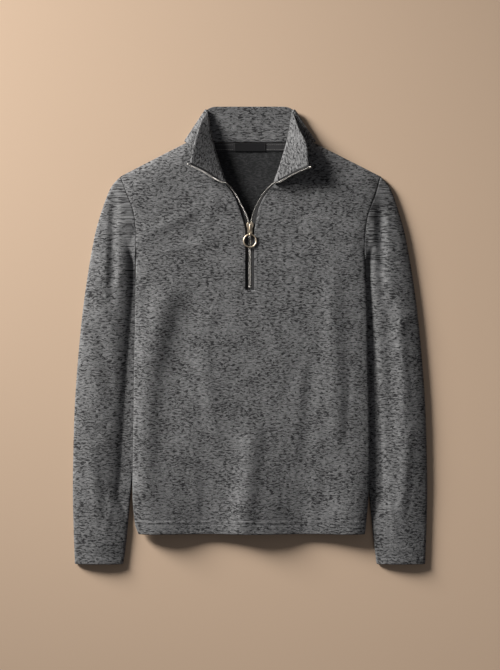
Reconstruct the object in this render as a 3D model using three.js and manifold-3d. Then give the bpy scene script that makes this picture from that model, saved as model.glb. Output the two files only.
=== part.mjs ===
import * as THREE from 'three';
import Module from 'manifold-3d';
import { mergeVertices } from 'three/addons/utils/BufferGeometryUtils.js';

// A quarter-zip sweater laid flat on the plane z = 0 with its front up, in millimetres.
// +Y runs from the hem to the collar and +X is the wearer's left. Right and left are the wearer's.

const { clamp, lerp } = THREE.MathUtils;

// Cloth
const CLOTH = 2.2;
const COLLAR_CLOTH = 4.0;
const SEAM = 0.3;
const PANEL_GAP = 0.8;
const HEM_DEPTH = 25;
const CUFF_DEPTH = 20;
const HEM_EXTRA = 0.8;

// Levels from the middle of the laid-out sweater
const NECK_POINT = { half: 114.7, y: 345.8 };
const SHOULDER_TIP = { half: 234, y: 285 };
const ARMPIT_Y = 150;
const HEM_Y = -357;
const CUFF_Y = -411.5;
const FRONT_NECK_Y = 270;
const SLIT_END_Y = 80.5;
const COLLAR_TOP_Y = 410.6;

// Heights of the hollows between the layers
const BODY_HOLLOW = 11;
const ARMHOLE_RISE = 8.5;
const SLEEVE_RISE = 9.5;
const CUFF_RISE = 7;
const SLEEVE_FLAT = 5.6;
const TUCK_LIFT = 6.2;
const SIDE_ROUNDING = 45;
const SHOULDER_ROUNDING = 40;

// Zip
const SLIT_HALF = 8.1;
const TAPE = 0.8;
const TAPE_HOLD = 6;
const TAPE_GAP = 0.5;
const TEETH_WIDTH = 2.4;
const TEETH_THICK = 2.2;
const TEETH_GAP = 0.3;
const SLIDER_TOP_Y = 202;
const SLIDER_FOOT_Y = 183.8;
const PIVOT_Y = 180;
const RING_OUTER = 12.5;
const RING_WIRE = 1.3;
const RING_SIDES = 8;
const EYE_PLAY = 0.45;
const EYE_WALL = 1.35;
const EYE_WIDTH = 2.6;

// Half-width of the body from its centre line, down the armhole and the side
const BODY_EDGE = [
  { y: 285, right: 233, left: 235 },
  { y: 252, right: 220.5, left: 225 },
  { y: 223, right: 209.5, left: 214 },
  { y: 195, right: 205.8, left: 208 },
  { y: 150, right: 204.8, left: 205.6 },
  { y: 58, right: 205.5, left: 210 },
  { y: -10, right: 206.8, left: 210.8 },
  { y: -207, right: 209.7, left: 214.7 },
  { y: -290, right: 210.6, left: 212.5 },
  { y: -340, right: 206, left: 208 },
  { y: -357, right: 200, left: 206 },
];

// Half-width to the sleeves' outer and inner edges. The inner edge is tucked under the body.
const SLEEVE_OUTER = [
  { y: 285, half: 234 },
  { y: 272, half: 246.5 },
  { y: 258, half: 254.5 },
  { y: 222, half: 267.3 },
  { y: 178, half: 279.5 },
  { y: 92, half: 294.3 },
  { y: 5, half: 305 },
  { y: -124, half: 315 },
  { y: -261, half: 318.6 },
  { y: -340, half: 317.6 },
  { y: -411.5, half: 315 },
];
const SLEEVE_INNER = [
  { y: 150, half: 205.6 },
  { y: 105, half: 206.5 },
  { y: 60, half: 196 },
  { y: -40, half: 193 },
  { y: -160, half: 198 },
  { y: -230, half: 207 },
  { y: -273, half: 212.8 },
  { y: -363, half: 221.5 },
  { y: -411.5, half: 227.5 },
];

// The zip above its slit: half-width of the front's edge and of the middle of the teeth
const ZIP_EDGE = [
  { y: 270, right: 43, left: 43.5, rightTeeth: 40, leftTeeth: 40.5 },
  { y: 251, right: 29.5, left: 27.5, rightTeeth: 25, leftTeeth: 23 },
  { y: 229, right: 19.5, left: 16.5, rightTeeth: 14, leftTeeth: 11 },
  { y: 216, right: 15.5, left: 13.5, rightTeeth: 7.4, leftTeeth: 5.8 },
  { y: 204, right: 12, left: 11, rightTeeth: 3, leftTeeth: 2.6 },
  { y: 190, right: 8.6, left: 8.5, rightTeeth: 1.4, leftTeeth: 1.4 },
  { y: 180, right: 8.1, left: 8.1, rightTeeth: 1.4, leftTeeth: 1.4 },
  { y: 80, right: 8.1, left: 8.1, rightTeeth: 1.4, leftTeeth: 1.4 },
];

// The front neck seam from the neck point to the zip, as half-widths and levels
const NECK_SEAM = [
  { half: 114.7, y: 345.8 },
  { half: 104.5, y: 330 },
  { half: 87, y: 305.5 },
  { half: 65, y: 288 },
  { half: 43, y: 270 },
];

// The front half of the collar from the neck point (0) to the zip (1): its free edge and its roll
const COLLAR_EDGE = {
  right: [
    { at: 0, half: 77, y: 404 },
    { at: 0.3, half: 88.5, y: 378.5 },
    { at: 0.62, half: 98.5, y: 346 },
    { at: 1, half: 107, y: 306 },
  ],
  left: [
    { at: 0, half: 76, y: 403 },
    { at: 0.3, half: 86.5, y: 372 },
    { at: 0.62, half: 101, y: 339 },
    { at: 1, half: 104.5, y: 301 },
  ],
};
const COLLAR_ROLL = [
  { at: 0, half: 76.5, y: 403.5 },
  { at: 0.35, half: 70.5, y: 360 },
  { at: 0.7, half: 57, y: 311 },
  { at: 1, half: 43, y: 270.4 },
];
const COLLAR_HEIGHT = 74;
const COLLAR_FLARE = { right: 6, left: 10 };
const COLLAR_BOW = 4;
const ROLL_RADIUS = 2.8;
const CORNER_HEIGHT = 10;
const BACK_COLLAR_RISE = 2.8;

// Largest folds of each piece: a line, the half-width of the fold across it, and its height
const FRONT_FOLDS = [
  { x1: -120, y1: 80, x2: -178, y2: -135, width: 24, height: -3 },
  { x1: -178, y1: -135, x2: -172, y2: -340, width: 20, height: -2.4 },
  { x1: -12, y1: -180, x2: -8, y2: -350, width: 24, height: 2.6 },
  { x1: 140, y1: 110, x2: 152, y2: -190, width: 30, height: 2.2 },
  { x1: -196, y1: 176, x2: -95, y2: 225, width: 18, height: 2 },
  { x1: 198, y1: 176, x2: 100, y2: 205, width: 18, height: 2 },
];
const SLEEVE_FOLDS = {
  right: [
    { x1: -246, y1: 250, x2: -249, y2: 85, width: 15, height: -3.4 },
    { x1: -236, y1: 184, x2: -212, y2: 166, width: 9, height: -2 },
    { x1: -272, y1: 20, x2: -250, y2: -120, width: 20, height: -2 },
    { x1: -286, y1: -200, x2: -272, y2: -330, width: 16, height: 2 },
  ],
  left: [
    { x1: 240, y1: 245, x2: 246, y2: 70, width: 16, height: -3.6 },
    { x1: 250, y1: 20, x2: 262, y2: -150, width: 18, height: -2 },
    { x1: 284, y1: -180, x2: 270, y2: -320, width: 16, height: 2 },
  ],
};
const HEM_WAVE = { height: 5, length: 180, crest: -171, fade: 200 };

const SIDES = [
  { name: 'right', sign: -1 },
  { name: 'left', sign: 1 },
];

const FLEECE = { color: 0x5e6064, roughness: 0.95, metalness: 0 };
const BLACK_TAPE = { color: 0x17171a, roughness: 0.85, metalness: 0 };
const STEEL = { color: 0x9d9b98, roughness: 0.35, metalness: 1 };
const PALE_METAL = { color: 0xd8c3a2, roughness: 0.28, metalness: 1 };
const SATIN = { color: 0x0e0e10, roughness: 0.35, metalness: 0 };

const ease = (t) => {
  const s = clamp(t, 0, 1);
  return s * s * (3 - 2 * s);
};

// Quarter-circle rise from 0 at an edge to 1 at the radius
const dome = (distance, radius) => Math.sqrt(1 - (1 - clamp(distance / radius, 0, 1)) ** 2);

// A smooth function through one column of a table
function along(rows, key, column) {
  const xs = rows.map((row) => row[key]);
  const ys = rows.map((row) => row[column]);
  const slopes = xs.map((_, i) => {
    const before = Math.max(i - 1, 0);
    const after = Math.min(i + 1, xs.length - 1);
    return (ys[after] - ys[before]) / (xs[after] - xs[before]);
  });
  const direction = Math.sign(xs[1] - xs[0]);
  return (x) => {
    let i = 0;
    while (i < xs.length - 2 && (x - xs[i + 1]) * direction > 0) i += 1;
    const span = xs[i + 1] - xs[i];
    const t = clamp((x - xs[i]) / span, 0, 1);
    const rise = ys[i + 1] - ys[i];
    const bend = slopes[i] * span * (1 - t) - slopes[i + 1] * span * t + rise * (2 * t - 1);
    return ys[i] + rise * t + t * (1 - t) * bend;
  };
}

const bodyEdge = { right: along(BODY_EDGE, 'y', 'right'), left: along(BODY_EDGE, 'y', 'left') };
const zipEdge = { right: along(ZIP_EDGE, 'y', 'right'), left: along(ZIP_EDGE, 'y', 'left') };
const teethLine = {
  right: along(ZIP_EDGE, 'y', 'rightTeeth'),
  left: along(ZIP_EDGE, 'y', 'leftTeeth'),
};
const sleeveOuter = along(SLEEVE_OUTER, 'y', 'half');
const sleeveInner = along(SLEEVE_INNER, 'y', 'half');
const neckSeam = new THREE.CatmullRomCurve3(
  NECK_SEAM.map((row) => new THREE.Vector3(row.half, row.y, 0)),
);

// Height of a set of folds at a point: each is a round ridge or trough that fades at its ends
function foldHeight(folds, x, y) {
  let height = 0;
  for (const fold of folds) {
    const dx = fold.x2 - fold.x1;
    const dy = fold.y2 - fold.y1;
    const length = Math.hypot(dx, dy);
    const t = ((x - fold.x1) * dx + (y - fold.y1) * dy) / length ** 2;
    const off = Math.abs((x - fold.x1) * dy - (y - fold.y1) * dx) / length;
    const fade = ease((t + 0.15) / 0.3) * ease((1.15 - t) / 0.3);
    height += fold.height * fade * ease(1 - off / fold.width);
  }
  return height;
}

// A Coons patch between four plan curves: u runs across and v runs down
function patch(top, bottom, start, end) {
  return (u, v) => {
    const point = new THREE.Vector2();
    point.addScaledVector(top(u), 1 - v);
    point.addScaledVector(bottom(u), v);
    point.addScaledVector(start(v), 1 - u);
    point.addScaledVector(end(v), u);
    point.addScaledVector(top(0), -(1 - u) * (1 - v));
    point.addScaledVector(top(1), -u * (1 - v));
    point.addScaledVector(bottom(0), -(1 - u) * v);
    point.addScaledVector(bottom(1), -u * v);
    return point;
  };
}

// Volume of a closed triangle mesh, negative where its faces point in
function signedVolume(points, triangles) {
  let six = 0;
  for (let i = 0; i < triangles.length; i += 3) {
    const [a, b, c] = [points[triangles[i]], points[triangles[i + 1]], points[triangles[i + 2]]];
    six += a.dot(b.clone().cross(c));
  }
  return six / 6;
}

// A closed wall between two grids of points, grid[row][column]. Cells named by open are left out.
function wall(outer, inner, { wraps = false, open = () => false } = {}) {
  const rows = outer.length;
  const columns = outer[0].length;
  const cellRows = rows - 1;
  const cellColumns = wraps ? columns : columns - 1;
  const points = [...outer.flat(), ...inner.flat()];
  const at = (side, row, column) => (side * rows + row) * columns + (column % columns);
  const triangles = [];
  const quad = (a, b, c, d) => triangles.push(a, b, c, a, c, d);
  const solid = (row, column) => {
    const inside = row >= 0 && row < cellRows && (wraps || (column >= 0 && column < cellColumns));
    return inside && !open(row, column);
  };
  for (let row = 0; row < cellRows; row += 1) {
    for (let column = 0; column < cellColumns; column += 1) {
      if (!solid(row, column)) continue;
      const corners = [[row, column], [row + 1, column], [row + 1, column + 1], [row, column + 1]];
      const [a, b, c, d] = corners.map((corner) => at(0, ...corner));
      const [e, f, g, h] = corners.map((corner) => at(1, ...corner));
      quad(a, b, c, d);
      quad(e, h, g, f);
      if (!solid(row - 1, column)) quad(a, d, h, e);
      if (!solid(row + 1, column)) quad(c, b, f, g);
      if (!solid(row, column - 1)) quad(b, a, e, f);
      if (!solid(row, column + 1)) quad(d, c, g, h);
    }
  }
  if (signedVolume(points, triangles) < 0) triangles.reverse();
  const geometry = new THREE.BufferGeometry();
  const corners = triangles.flatMap((corner) => points[corner].toArray());
  geometry.setAttribute('position', new THREE.Float32BufferAttribute(corners, 3));
  return geometry;
}

// A wall of even thickness on both sides of a grid of points
function shell(middle, thickness) {
  const rows = middle.length;
  const columns = middle[0].length;
  const offset = (side) => middle.map((line, row) => line.map((point, column) => {
    const down = middle[Math.min(row + 1, rows - 1)][column].clone();
    down.sub(middle[Math.max(row - 1, 0)][column]);
    const across = line[Math.min(column + 1, columns - 1)].clone();
    across.sub(line[Math.max(column - 1, 0)]);
    const normal = down.cross(across).normalize();
    return point.clone().addScaledVector(normal, (side * thickness) / 2);
  }));
  return wall(offset(1), offset(-1));
}

// Heights of the body. The back lies on the floor and climbs over the tucked edge of each sleeve.
const sideOf = (x) => (x < 0 ? 'right' : 'left');
const sideLift = (y) => TUCK_LIFT * ease((195 - y) / 45);
const hemBand = (y) => ease((HEM_Y + HEM_DEPTH - y) / 4);

function backBottom(x, y) {
  const fromSide = bodyEdge[sideOf(x)](y) - Math.abs(x);
  return sideLift(y) * (1 - ease((fromSide - 20) / 45));
}

const backTop = (x, y) => backBottom(x, y) + CLOTH + HEM_EXTRA * hemBand(y);

function armholeRise(y) {
  const down = clamp((SHOULDER_TIP.y - y) / (SHOULDER_TIP.y - ARMPIT_Y), 0, 1);
  return ARMHOLE_RISE * Math.sin(Math.PI * down) ** 0.7;
}

function frontBottom(x, y) {
  const half = Math.abs(x);
  const stacked = CLOTH + PANEL_GAP;
  const slope = (NECK_POINT.y - SHOULDER_TIP.y) / (SHOULDER_TIP.half - NECK_POINT.half);
  const shoulderY = NECK_POINT.y + slope * (NECK_POINT.half - half);
  const fromShoulder = (shoulderY - y) / Math.hypot(slope, 1);
  const fromSide = bodyEdge[sideOf(x)](y) - half;
  const rim = sideLift(y) + stacked + armholeRise(y);
  const hemFade = ease((HEM_WAVE.fade - (y - HEM_Y)) / HEM_WAVE.fade);
  const turn = (2 * Math.PI * (x - HEM_WAVE.crest)) / HEM_WAVE.length;
  const wave = HEM_WAVE.height * Math.cos(turn) * hemFade;
  const middle = stacked + BODY_HOLLOW + wave + foldHeight(FRONT_FOLDS, x, y);
  const across = lerp(rim, middle, dome(fromSide, SIDE_ROUNDING));
  const height = lerp(stacked, across, dome(fromShoulder, SHOULDER_ROUNDING));
  return Math.max(height, backTop(x, y) + PANEL_GAP);
}

const frontTop = (x, y) => frontBottom(x, y) + CLOTH + HEM_EXTRA * hemBand(y);

// Plan of half of a body panel, from its side (u = 0) to its centre edge (u = 1)
const NECK_COLUMN = 0.42;
function halfPanel({ name, sign }, neck, centre, hemCentre) {
  const plan = (half, y) => new THREE.Vector2(sign * half, y);
  const tipHalf = bodyEdge[name](SHOULDER_TIP.y);
  const top = (u) => {
    if (u > NECK_COLUMN) return neck((u - NECK_COLUMN) / (1 - NECK_COLUMN));
    const t = u / NECK_COLUMN;
    return plan(lerp(tipHalf, NECK_POINT.half, t), lerp(SHOULDER_TIP.y, NECK_POINT.y, t));
  };
  const hemHalf = bodyEdge[name](HEM_Y);
  const bottom = (u) => plan(lerp(hemHalf, hemCentre, u), HEM_Y);
  const side = (v) => {
    const y = lerp(SHOULDER_TIP.y, HEM_Y, v);
    return plan(bodyEdge[name](y), y);
  };
  return patch(top, bottom, side, centre);
}

// Columns of a half panel: closer together at the side, with one at the neck point
function panelColumns(outside, inside) {
  const columns = [];
  for (let i = 0; i < outside; i += 1) columns.push(NECK_COLUMN * (i / outside) ** 1.5);
  for (let i = 0; i <= inside; i += 1) columns.push(lerp(NECK_COLUMN, 1, i / inside));
  return columns;
}

// Front panel: two halves joined below the zip slit
function makeFront() {
  const levels = [];
  for (let i = 0; i < 8; i += 1) levels.push(lerp(FRONT_NECK_Y, SLIDER_FOOT_Y, i / 8));
  for (let i = 0; i < 7; i += 1) levels.push(lerp(SLIDER_FOOT_Y, SLIT_END_Y, i / 7));
  const slitRows = levels.length;
  const hemLine = HEM_Y + HEM_DEPTH;
  for (let i = 0; i <= 17; i += 1) levels.push(lerp(SLIT_END_Y, hemLine, i / 17));
  levels.push(hemLine - 5, HEM_Y);
  const downs = levels.map((y) => (FRONT_NECK_Y - y) / (FRONT_NECK_Y - HEM_Y));
  const columns = panelColumns(6, 6);
  const halves = SIDES.map((side) => {
    const neck = (t) => {
      const point = neckSeam.getPoint(t);
      return new THREE.Vector2(side.sign * point.x, point.y);
    };
    const centre = (v) => {
      const y = lerp(FRONT_NECK_Y, HEM_Y, v);
      return new THREE.Vector2(side.sign * zipEdge[side.name](y), y);
    };
    return halfPanel(side, neck, centre, SLIT_HALF);
  });
  const plan = downs.map((v) => [
    ...columns.map((u) => halves[0](u, v)),
    ...columns.toReversed().map((u) => halves[1](u, v)),
  ]);
  const raise = (height) => plan.map((line) => line.map((p) => (
    new THREE.Vector3(p.x, p.y, height(p.x, p.y)))));
  const open = (row, column) => column === columns.length - 1 && row < slitRows;
  return wall(raise(frontTop), raise(frontBottom), { open });
}

// Back panel: whole, lying on the floor under the front. Its rows are closer down to the armpits.
const BACK_ARMPIT = 0.23;
function makeBack() {
  const hemLine = HEM_Y + HEM_DEPTH;
  const downOf = (y) => (NECK_POINT.y - y) / (NECK_POINT.y - HEM_Y);
  const downs = [];
  for (let i = 0; i < 11; i += 1) downs.push(lerp(0, BACK_ARMPIT, i / 11));
  for (let i = 0; i <= 11; i += 1) downs.push(lerp(BACK_ARMPIT, downOf(hemLine), i / 11));
  downs.push(downOf(hemLine - 5), 1);
  const columns = panelColumns(5, 4);
  const halves = SIDES.map((side) => {
    const neck = (t) => new THREE.Vector2(side.sign * lerp(NECK_POINT.half, 0, t), NECK_POINT.y);
    const centre = (v) => new THREE.Vector2(0, lerp(NECK_POINT.y, HEM_Y, v));
    return halfPanel(side, neck, centre, 0);
  });
  const plan = downs.map((v) => [
    ...columns.map((u) => halves[0](u, v)),
    ...columns.toReversed().slice(1).map((u) => halves[1](u, v)),
  ]);
  const raise = (height) => plan.map((line) => line.map((p) => (
    new THREE.Vector3(p.x, p.y, height(p.x, p.y)))));
  return wall(raise(backTop), raise(backBottom));
}

// Sleeve: a flattened tube from the armhole to the open cuff
const SLEEVE_RINGS = 25;
const SLEEVE_SIDES = 22;
const SLEEVE_EDGE_RADIUS = 4;
const PRESSED_WIDTH = 27;

function makeSleeve({ name, sign }) {
  const plan = (half, y) => new THREE.Vector2(sign * half, y);
  const armholeY = (w) => lerp(SHOULDER_TIP.y, ARMPIT_Y, w);
  const clearOfBody = SEAM + 0.1;
  const armhole = (w) => plan(bodyEdge[name](armholeY(w)) + clearOfBody, armholeY(w));
  const cuff = (w) => plan(lerp(sleeveOuter(CUFF_Y), sleeveInner(CUFF_Y), w), CUFF_Y);
  const outer = (v) => {
    const y = lerp(SHOULDER_TIP.y, CUFF_Y, v);
    const start = bodyEdge[name](SHOULDER_TIP.y) + clearOfBody - SHOULDER_TIP.half;
    return plan(sleeveOuter(y) + start * (1 - ease(v * 8)), y);
  };
  const innerHalf = (y) => {
    const start = bodyEdge[name](ARMPIT_Y) + clearOfBody - SLEEVE_INNER[0].half;
    const beside = bodyEdge[name](y) + clearOfBody;
    const free = sleeveInner(y) + start;
    return lerp(Math.max(free, beside), sleeveInner(y), ease((105 - y) / 45));
  };
  const inner = (v) => {
    const y = lerp(ARMPIT_Y, CUFF_Y, v);
    return plan(innerHalf(y), y);
  };
  const sheet = patch(armhole, cuff, outer, inner);

  // Heights of the upper and lower cloth at a point across the sleeve
  const heights = (v, w) => {
    const point = sheet(w, v);
    const width = sheet(0, v).distanceTo(sheet(1, v));
    const innerY = lerp(ARMPIT_Y, CUFF_Y, v);
    const lift = sideLift(armholeY(w)) * (1 - ease((v * 560) / 45));
    const under = Math.max(bodyEdge[name](innerY) - innerHalf(innerY), 0);
    const pressed = PRESSED_WIDTH * ease((128 - innerY) / 20) * ease((innerY + 345) / 60);
    const tucked = (under * ease((128 - innerY) / 20) + pressed) / width;
    const crown = lerp(ARMHOLE_RISE, SLEEVE_RISE, ease(v * 5));
    const rise = lerp(crown, CUFF_RISE, ease((v - 0.6) / 0.4));
    const across = clamp(w / (1 - tucked), 0, 1);
    const bump = rise * Math.sin(Math.PI * across) ** 0.7;
    const folds = foldHeight(SLEEVE_FOLDS[name], point.x, point.y) * Math.sin(Math.PI * across);
    return { point, width, lift, top: lift + SLEEVE_FLAT + bump + folds };
  };

  const cuffLine = 1 - CUFF_DEPTH / (SHOULDER_TIP.y - CUFF_Y);
  const ring = (v, inset) => {
    const thickness = inset ? CLOTH + HEM_EXTRA * ease((v - cuffLine) / 0.006) : 0;
    const points = [];
    for (let i = 0; i < SLEEVE_SIDES; i += 1) {
      const angle = (2 * Math.PI * i) / SLEEVE_SIDES;
      const plain = (1 - Math.cos(angle)) / 2;
      const { width } = heights(v, plain);
      const w = lerp(thickness / width, 1 - thickness / width, plain);
      const { point, lift, top } = heights(v, w);
      const edge = lift + SLEEVE_FLAT / 2;
      const fromEdge = Math.min(plain, 1 - plain) * width;
      const round = dome(fromEdge, SLEEVE_EDGE_RADIUS);
      const reach = i <= SLEEVE_SIDES / 2 ? top - thickness - edge : lift + thickness - edge;
      points.push(new THREE.Vector3(point.x, point.y, edge + reach * round));
    }
    return points;
  };

  const downs = [];
  for (let i = 0; i < SLEEVE_RINGS; i += 1) downs.push(cuffLine * (i / (SLEEVE_RINGS - 1)) ** 1.25);
  downs.push(cuffLine + 0.006, 1);
  return wall(downs.map((v) => ring(v, false)), downs.map((v) => ring(v, true)), { wraps: true });
}

// Collar: one band from zip to zip. Its back lies on the floor, each side folds over at the neck
// point, and each front half rolls outwards along a slanting line and flares up.
const neckSeamHeight = (x, y) => frontTop(x, y) + SEAM * 2 + COLLAR_CLOTH / 2;
const BACK_COLLAR_Z = COLLAR_CLOTH / 2;

function collarFront({ name, sign }, at) {
  const seam = neckSeam.getPoint(at);
  const base = new THREE.Vector3(sign * seam.x, seam.y, 0);
  base.z = neckSeamHeight(base.x, base.y);
  const edgeRow = (column) => along(COLLAR_EDGE[name], 'at', column)(at);
  const rollRow = (column) => along(COLLAR_ROLL, 'at', column)(at);
  const first = COLLAR_EDGE[name][0];
  const settle = 1 - ease(at / 0.3);
  const roll = new THREE.Vector3(
    sign * lerp(rollRow('half'), first.half, settle * (1 - at)),
    lerp(rollRow('y'), first.y, settle * (1 - at) * (at < 0.05 ? 1 : 0)),
    0,
  );
  const free = new THREE.Vector3(sign * edgeRow('half'), edgeRow('y'), 0);
  const radius = ROLL_RADIUS * ease(at / 0.25);
  const crest = lerp(CORNER_HEIGHT, neckSeamHeight(sign * 43, FRONT_NECK_Y), at);
  const crestZ = crest + 2.2 * ease(at / 0.25) * (1 - at);
  const freeZ = crestZ + radius + COLLAR_FLARE[name] * ease(at / 0.7);
  const stand = (1 - at) * COLLAR_HEIGHT;
  const flap = at * COLLAR_HEIGHT;
  const reach = (length) => {
    const bend = (radius * Math.PI) / 2;
    if (length > bend) return radius + length - bend;
    return radius * (1 - Math.cos(length / Math.max(radius, 1e-6)));
  };
  const level = (length) => {
    const turn = clamp(length / Math.max(radius, 1e-6), -Math.PI / 2, Math.PI / 2);
    return crestZ + radius * Math.sin(turn);
  };
  return (t) => {
    const length = t * COLLAR_HEIGHT - stand;
    const [end, endZ, whole] = length < 0 ? [base, base.z, stand] : [free, freeZ, flap];
    const part = whole > 0 ? Math.abs(length) / whole : 0;
    const gone = whole > 0 ? reach(Math.abs(length)) / reach(whole) : 0;
    const point = roll.clone().lerp(end, gone);
    point.z = level(length) + (endZ - level(Math.sign(length) * whole)) * part;
    const bow = length > 0 ? COLLAR_BOW * at ** 4 * Math.sin(Math.PI * part) : 0;
    return point.add(new THREE.Vector3(sign * bow * 0.45, bow * 0.9, 0));
  };
}

// The fold at the side of the neck, turning from the front half (turn = 1) to the back (turn = -1)
function collarFold({ name, sign }, turn) {
  const front = collarFront({ name, sign }, 0);
  const back = [BACK_COLLAR_Z, BACK_COLLAR_Z + BACK_COLLAR_RISE];
  const [low, high] = [front(0), front(1)];
  const outward = new THREE.Vector3(high.y - low.y, low.x - high.x, 0).normalize();
  outward.multiplyScalar(-sign * Math.sign(outward.x) * -1);
  const ends = [low, high].map((point, i) => {
    const radius = (point.z - back[i]) / 2;
    const angle = (turn * Math.PI) / 2;
    const moved = point.clone().addScaledVector(outward, radius * Math.cos(angle));
    moved.z = back[i] + radius * (1 + Math.sin(angle));
    return moved;
  });
  return (t) => ends[0].clone().lerp(ends[1], t);
}

// The back of the collar, from the wearer's right (0) to the left (1)
function collarBack(across) {
  const corner = { right: COLLAR_EDGE.right[0], left: COLLAR_EDGE.left[0] };
  const seamX = lerp(-NECK_POINT.half, NECK_POINT.half, across);
  const topX = lerp(-corner.right.half, corner.left.half, across);
  const cornerY = lerp(corner.right.y, corner.left.y, across);
  const topY = lerp(cornerY, COLLAR_TOP_Y, dome(Math.min(across, 1 - across), 0.12));
  const seam = new THREE.Vector3(seamX, NECK_POINT.y + SEAM * 1.5, BACK_COLLAR_Z);
  const top = new THREE.Vector3(topX, topY, BACK_COLLAR_Z + BACK_COLLAR_RISE);
  return (t) => seam.clone().lerp(top, t);
}

function makeCollar() {
  const [right, left] = SIDES;
  const steps = [0, 0.04, 0.09, 0.15, 0.22, 0.3, 0.4, 0.5, 0.6, 0.7, 0.8, 0.9, 1];
  const turns = [0.67, 0.33, 0, -0.33, -0.67];
  const backs = [0, 0.02, 0.05, 0.1, 0.2, 0.35, 0.5, 0.65, 0.8, 0.9, 0.95, 0.98, 1];
  const lines = [
    ...steps.toReversed().map((at) => collarFront(right, at)),
    ...turns.map((turn) => collarFold(right, turn)),
    ...backs.map((across) => collarBack(across)),
    ...turns.toReversed().map((turn) => collarFold(left, turn)),
    ...steps.map((at) => collarFront(left, at)),
  ];
  // The rows of points gather at the roll, which climbs from the zip to the neck point
  const rolls = [
    ...steps.toReversed().map((at) => 1 - at),
    ...turns.map(() => 1),
    ...backs.map(() => 1),
    ...turns.map(() => 1),
    ...steps.map((at) => 1 - at),
  ];
  const share = (step, roll) => {
    const split = clamp(roll, 0.12, 0.88);
    if (step < 0.5) return split * (1 - (1 - step * 2) ** 1.6);
    return split + (1 - split) * (step * 2 - 1) ** 1.6;
  };
  const rows = 14;
  const middle = [];
  for (let i = 0; i <= rows; i += 1) {
    middle.push(lines.map((line, column) => line(share(i / rows, rolls[column]))));
  }
  return shell(middle, COLLAR_CLOTH);
}

// Zip: each side's tape and teeth follow the edge of the front, turn over at the neck seam, and
// lie on the inner face of the collar, which shows there.
const ZIP_FOOT_Y = 88.6;
const TURN_START_Y = 252;

function zipSamples({ name, sign }) {
  const samples = [];
  const lows = [ZIP_FOOT_Y, 105, 125, 145, 165, 176, 184, 190, 196, 203, 210, 217, 224, 232, 240, 247];
  for (const y of lows) {
    const edge = new THREE.Vector3(sign * zipEdge[name](y), y, 0);
    edge.z = frontBottom(edge.x, y) - TAPE_GAP - TAPE / 2;
    const slope = (zipEdge[name](y + 2) - zipEdge[name](y - 2)) / 4;
    const inward = new THREE.Vector3(-sign, slope, 0).normalize();
    const teeth = new THREE.Vector3(sign * teethLine[name](y), y, 0);
    const width = edge.clone().setZ(0).distanceTo(teeth) / Math.hypot(1, slope);
    samples.push({ edge, inward, width, turn: 0, hold: y < TURN_START_Y - 8 ? TAPE_HOLD : -0.5 });
  }
  const line = collarFront({ name, sign }, 1);
  const above = COLLAR_CLOTH / 2 + SEAM + TAPE / 2;
  const turns = [
    { y: 254, t: 0, turn: 0.04 },
    { y: 260, t: 0, turn: 0.16 },
    { y: 266, t: 0, turn: 0.34 },
    { y: 270, t: 0.02, turn: 0.5 },
    { y: 270, t: 0.09, turn: 0.68 },
    { y: 270, t: 0.17, turn: 0.86 },
    { y: 270, t: 0.25, turn: 0.97 },
    { y: 270, t: 0.32, turn: 1 },
  ];
  for (let i = 1; i <= 9; i += 1) turns.push({ y: 270, t: lerp(0.32, 1, i / 9), turn: 1, hold: TAPE_HOLD });
  const top = line(0).z + above;
  const low = frontBottom(sign * 35, TURN_START_Y) - TAPE_GAP - TAPE / 2;
  for (const { y, t, turn, hold = -0.5 } of turns) {
    const onCollar = t > 0;
    const edge = onCollar ? line(t) : new THREE.Vector3(sign * zipEdge[name](y), y, 0);
    const next = onCollar ? line(t + 0.02) : new THREE.Vector3(sign * zipEdge[name](y + 2), y + 2, 0);
    const before = onCollar ? line(t - 0.02) : new THREE.Vector3(sign * zipEdge[name](y - 2), y - 2, 0);
    const run = next.sub(before).setZ(0).normalize();
    edge.z = onCollar ? Math.max(edge.z + above, lerp(top, edge.z + above, t)) : lerp(low, top, ease(turn * 2));
    const inward = new THREE.Vector3(-run.y * sign, run.x * sign, 0);
    samples.push({ edge, inward, width: 3.6, turn, hold });
  }
  return samples;
}

// A point of the zip, a distance from the cloth's edge towards the teeth and beyond
function zipPoint({ edge, inward, turn }, distance) {
  const angle = Math.PI * turn;
  const flat = Math.cos(angle);
  const high = Math.sin(angle);
  const point = edge.clone().addScaledVector(inward, distance * flat + 0.7 * high);
  point.z += distance * high;
  return point;
}

function makeTape(side) {
  const lines = zipSamples(side).map((sample) => {
    const twist = Math.sin(Math.PI * sample.turn);
    const end = sample.width - TEETH_WIDTH / 2 - TEETH_GAP * (1 + 2 * twist);
    const stops = [-sample.hold, 0.5 + 0.3 * (end - 0.5), end];
    return stops.map((distance) => {
      const point = zipPoint(sample, distance);
      if (sample.turn === 0 && distance < 0) {
        point.z = frontBottom(point.x, point.y) - TAPE_GAP - TAPE / 2;
      }
      return point;
    });
  });
  return shell(lines, TAPE);
}

function makeTeeth(side) {
  const lines = zipSamples(side).map((sample) => [-1, 1].map((end) => (
    zipPoint(sample, sample.width + (end * TEETH_WIDTH) / 2))));
  return shell(lines, TEETH_THICK);
}

// Small block of metal at an end of the teeth
function makeStop(width, length, thick) {
  return new THREE.BoxGeometry(width, length, thick);
}

// Slider and ring. The wire of the ring turns in the slider's eye.
const zipLevel = frontBottom(0, PIVOT_Y) - TAPE_GAP - TAPE / 2;
const teethTop = zipLevel + TEETH_THICK / 2;
const eyeOuter = RING_WIRE + EYE_PLAY + EYE_WALL;
const pivotZ = teethTop + SEAM + eyeOuter;

const wasm = await Module();
wasm.setup();

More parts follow.
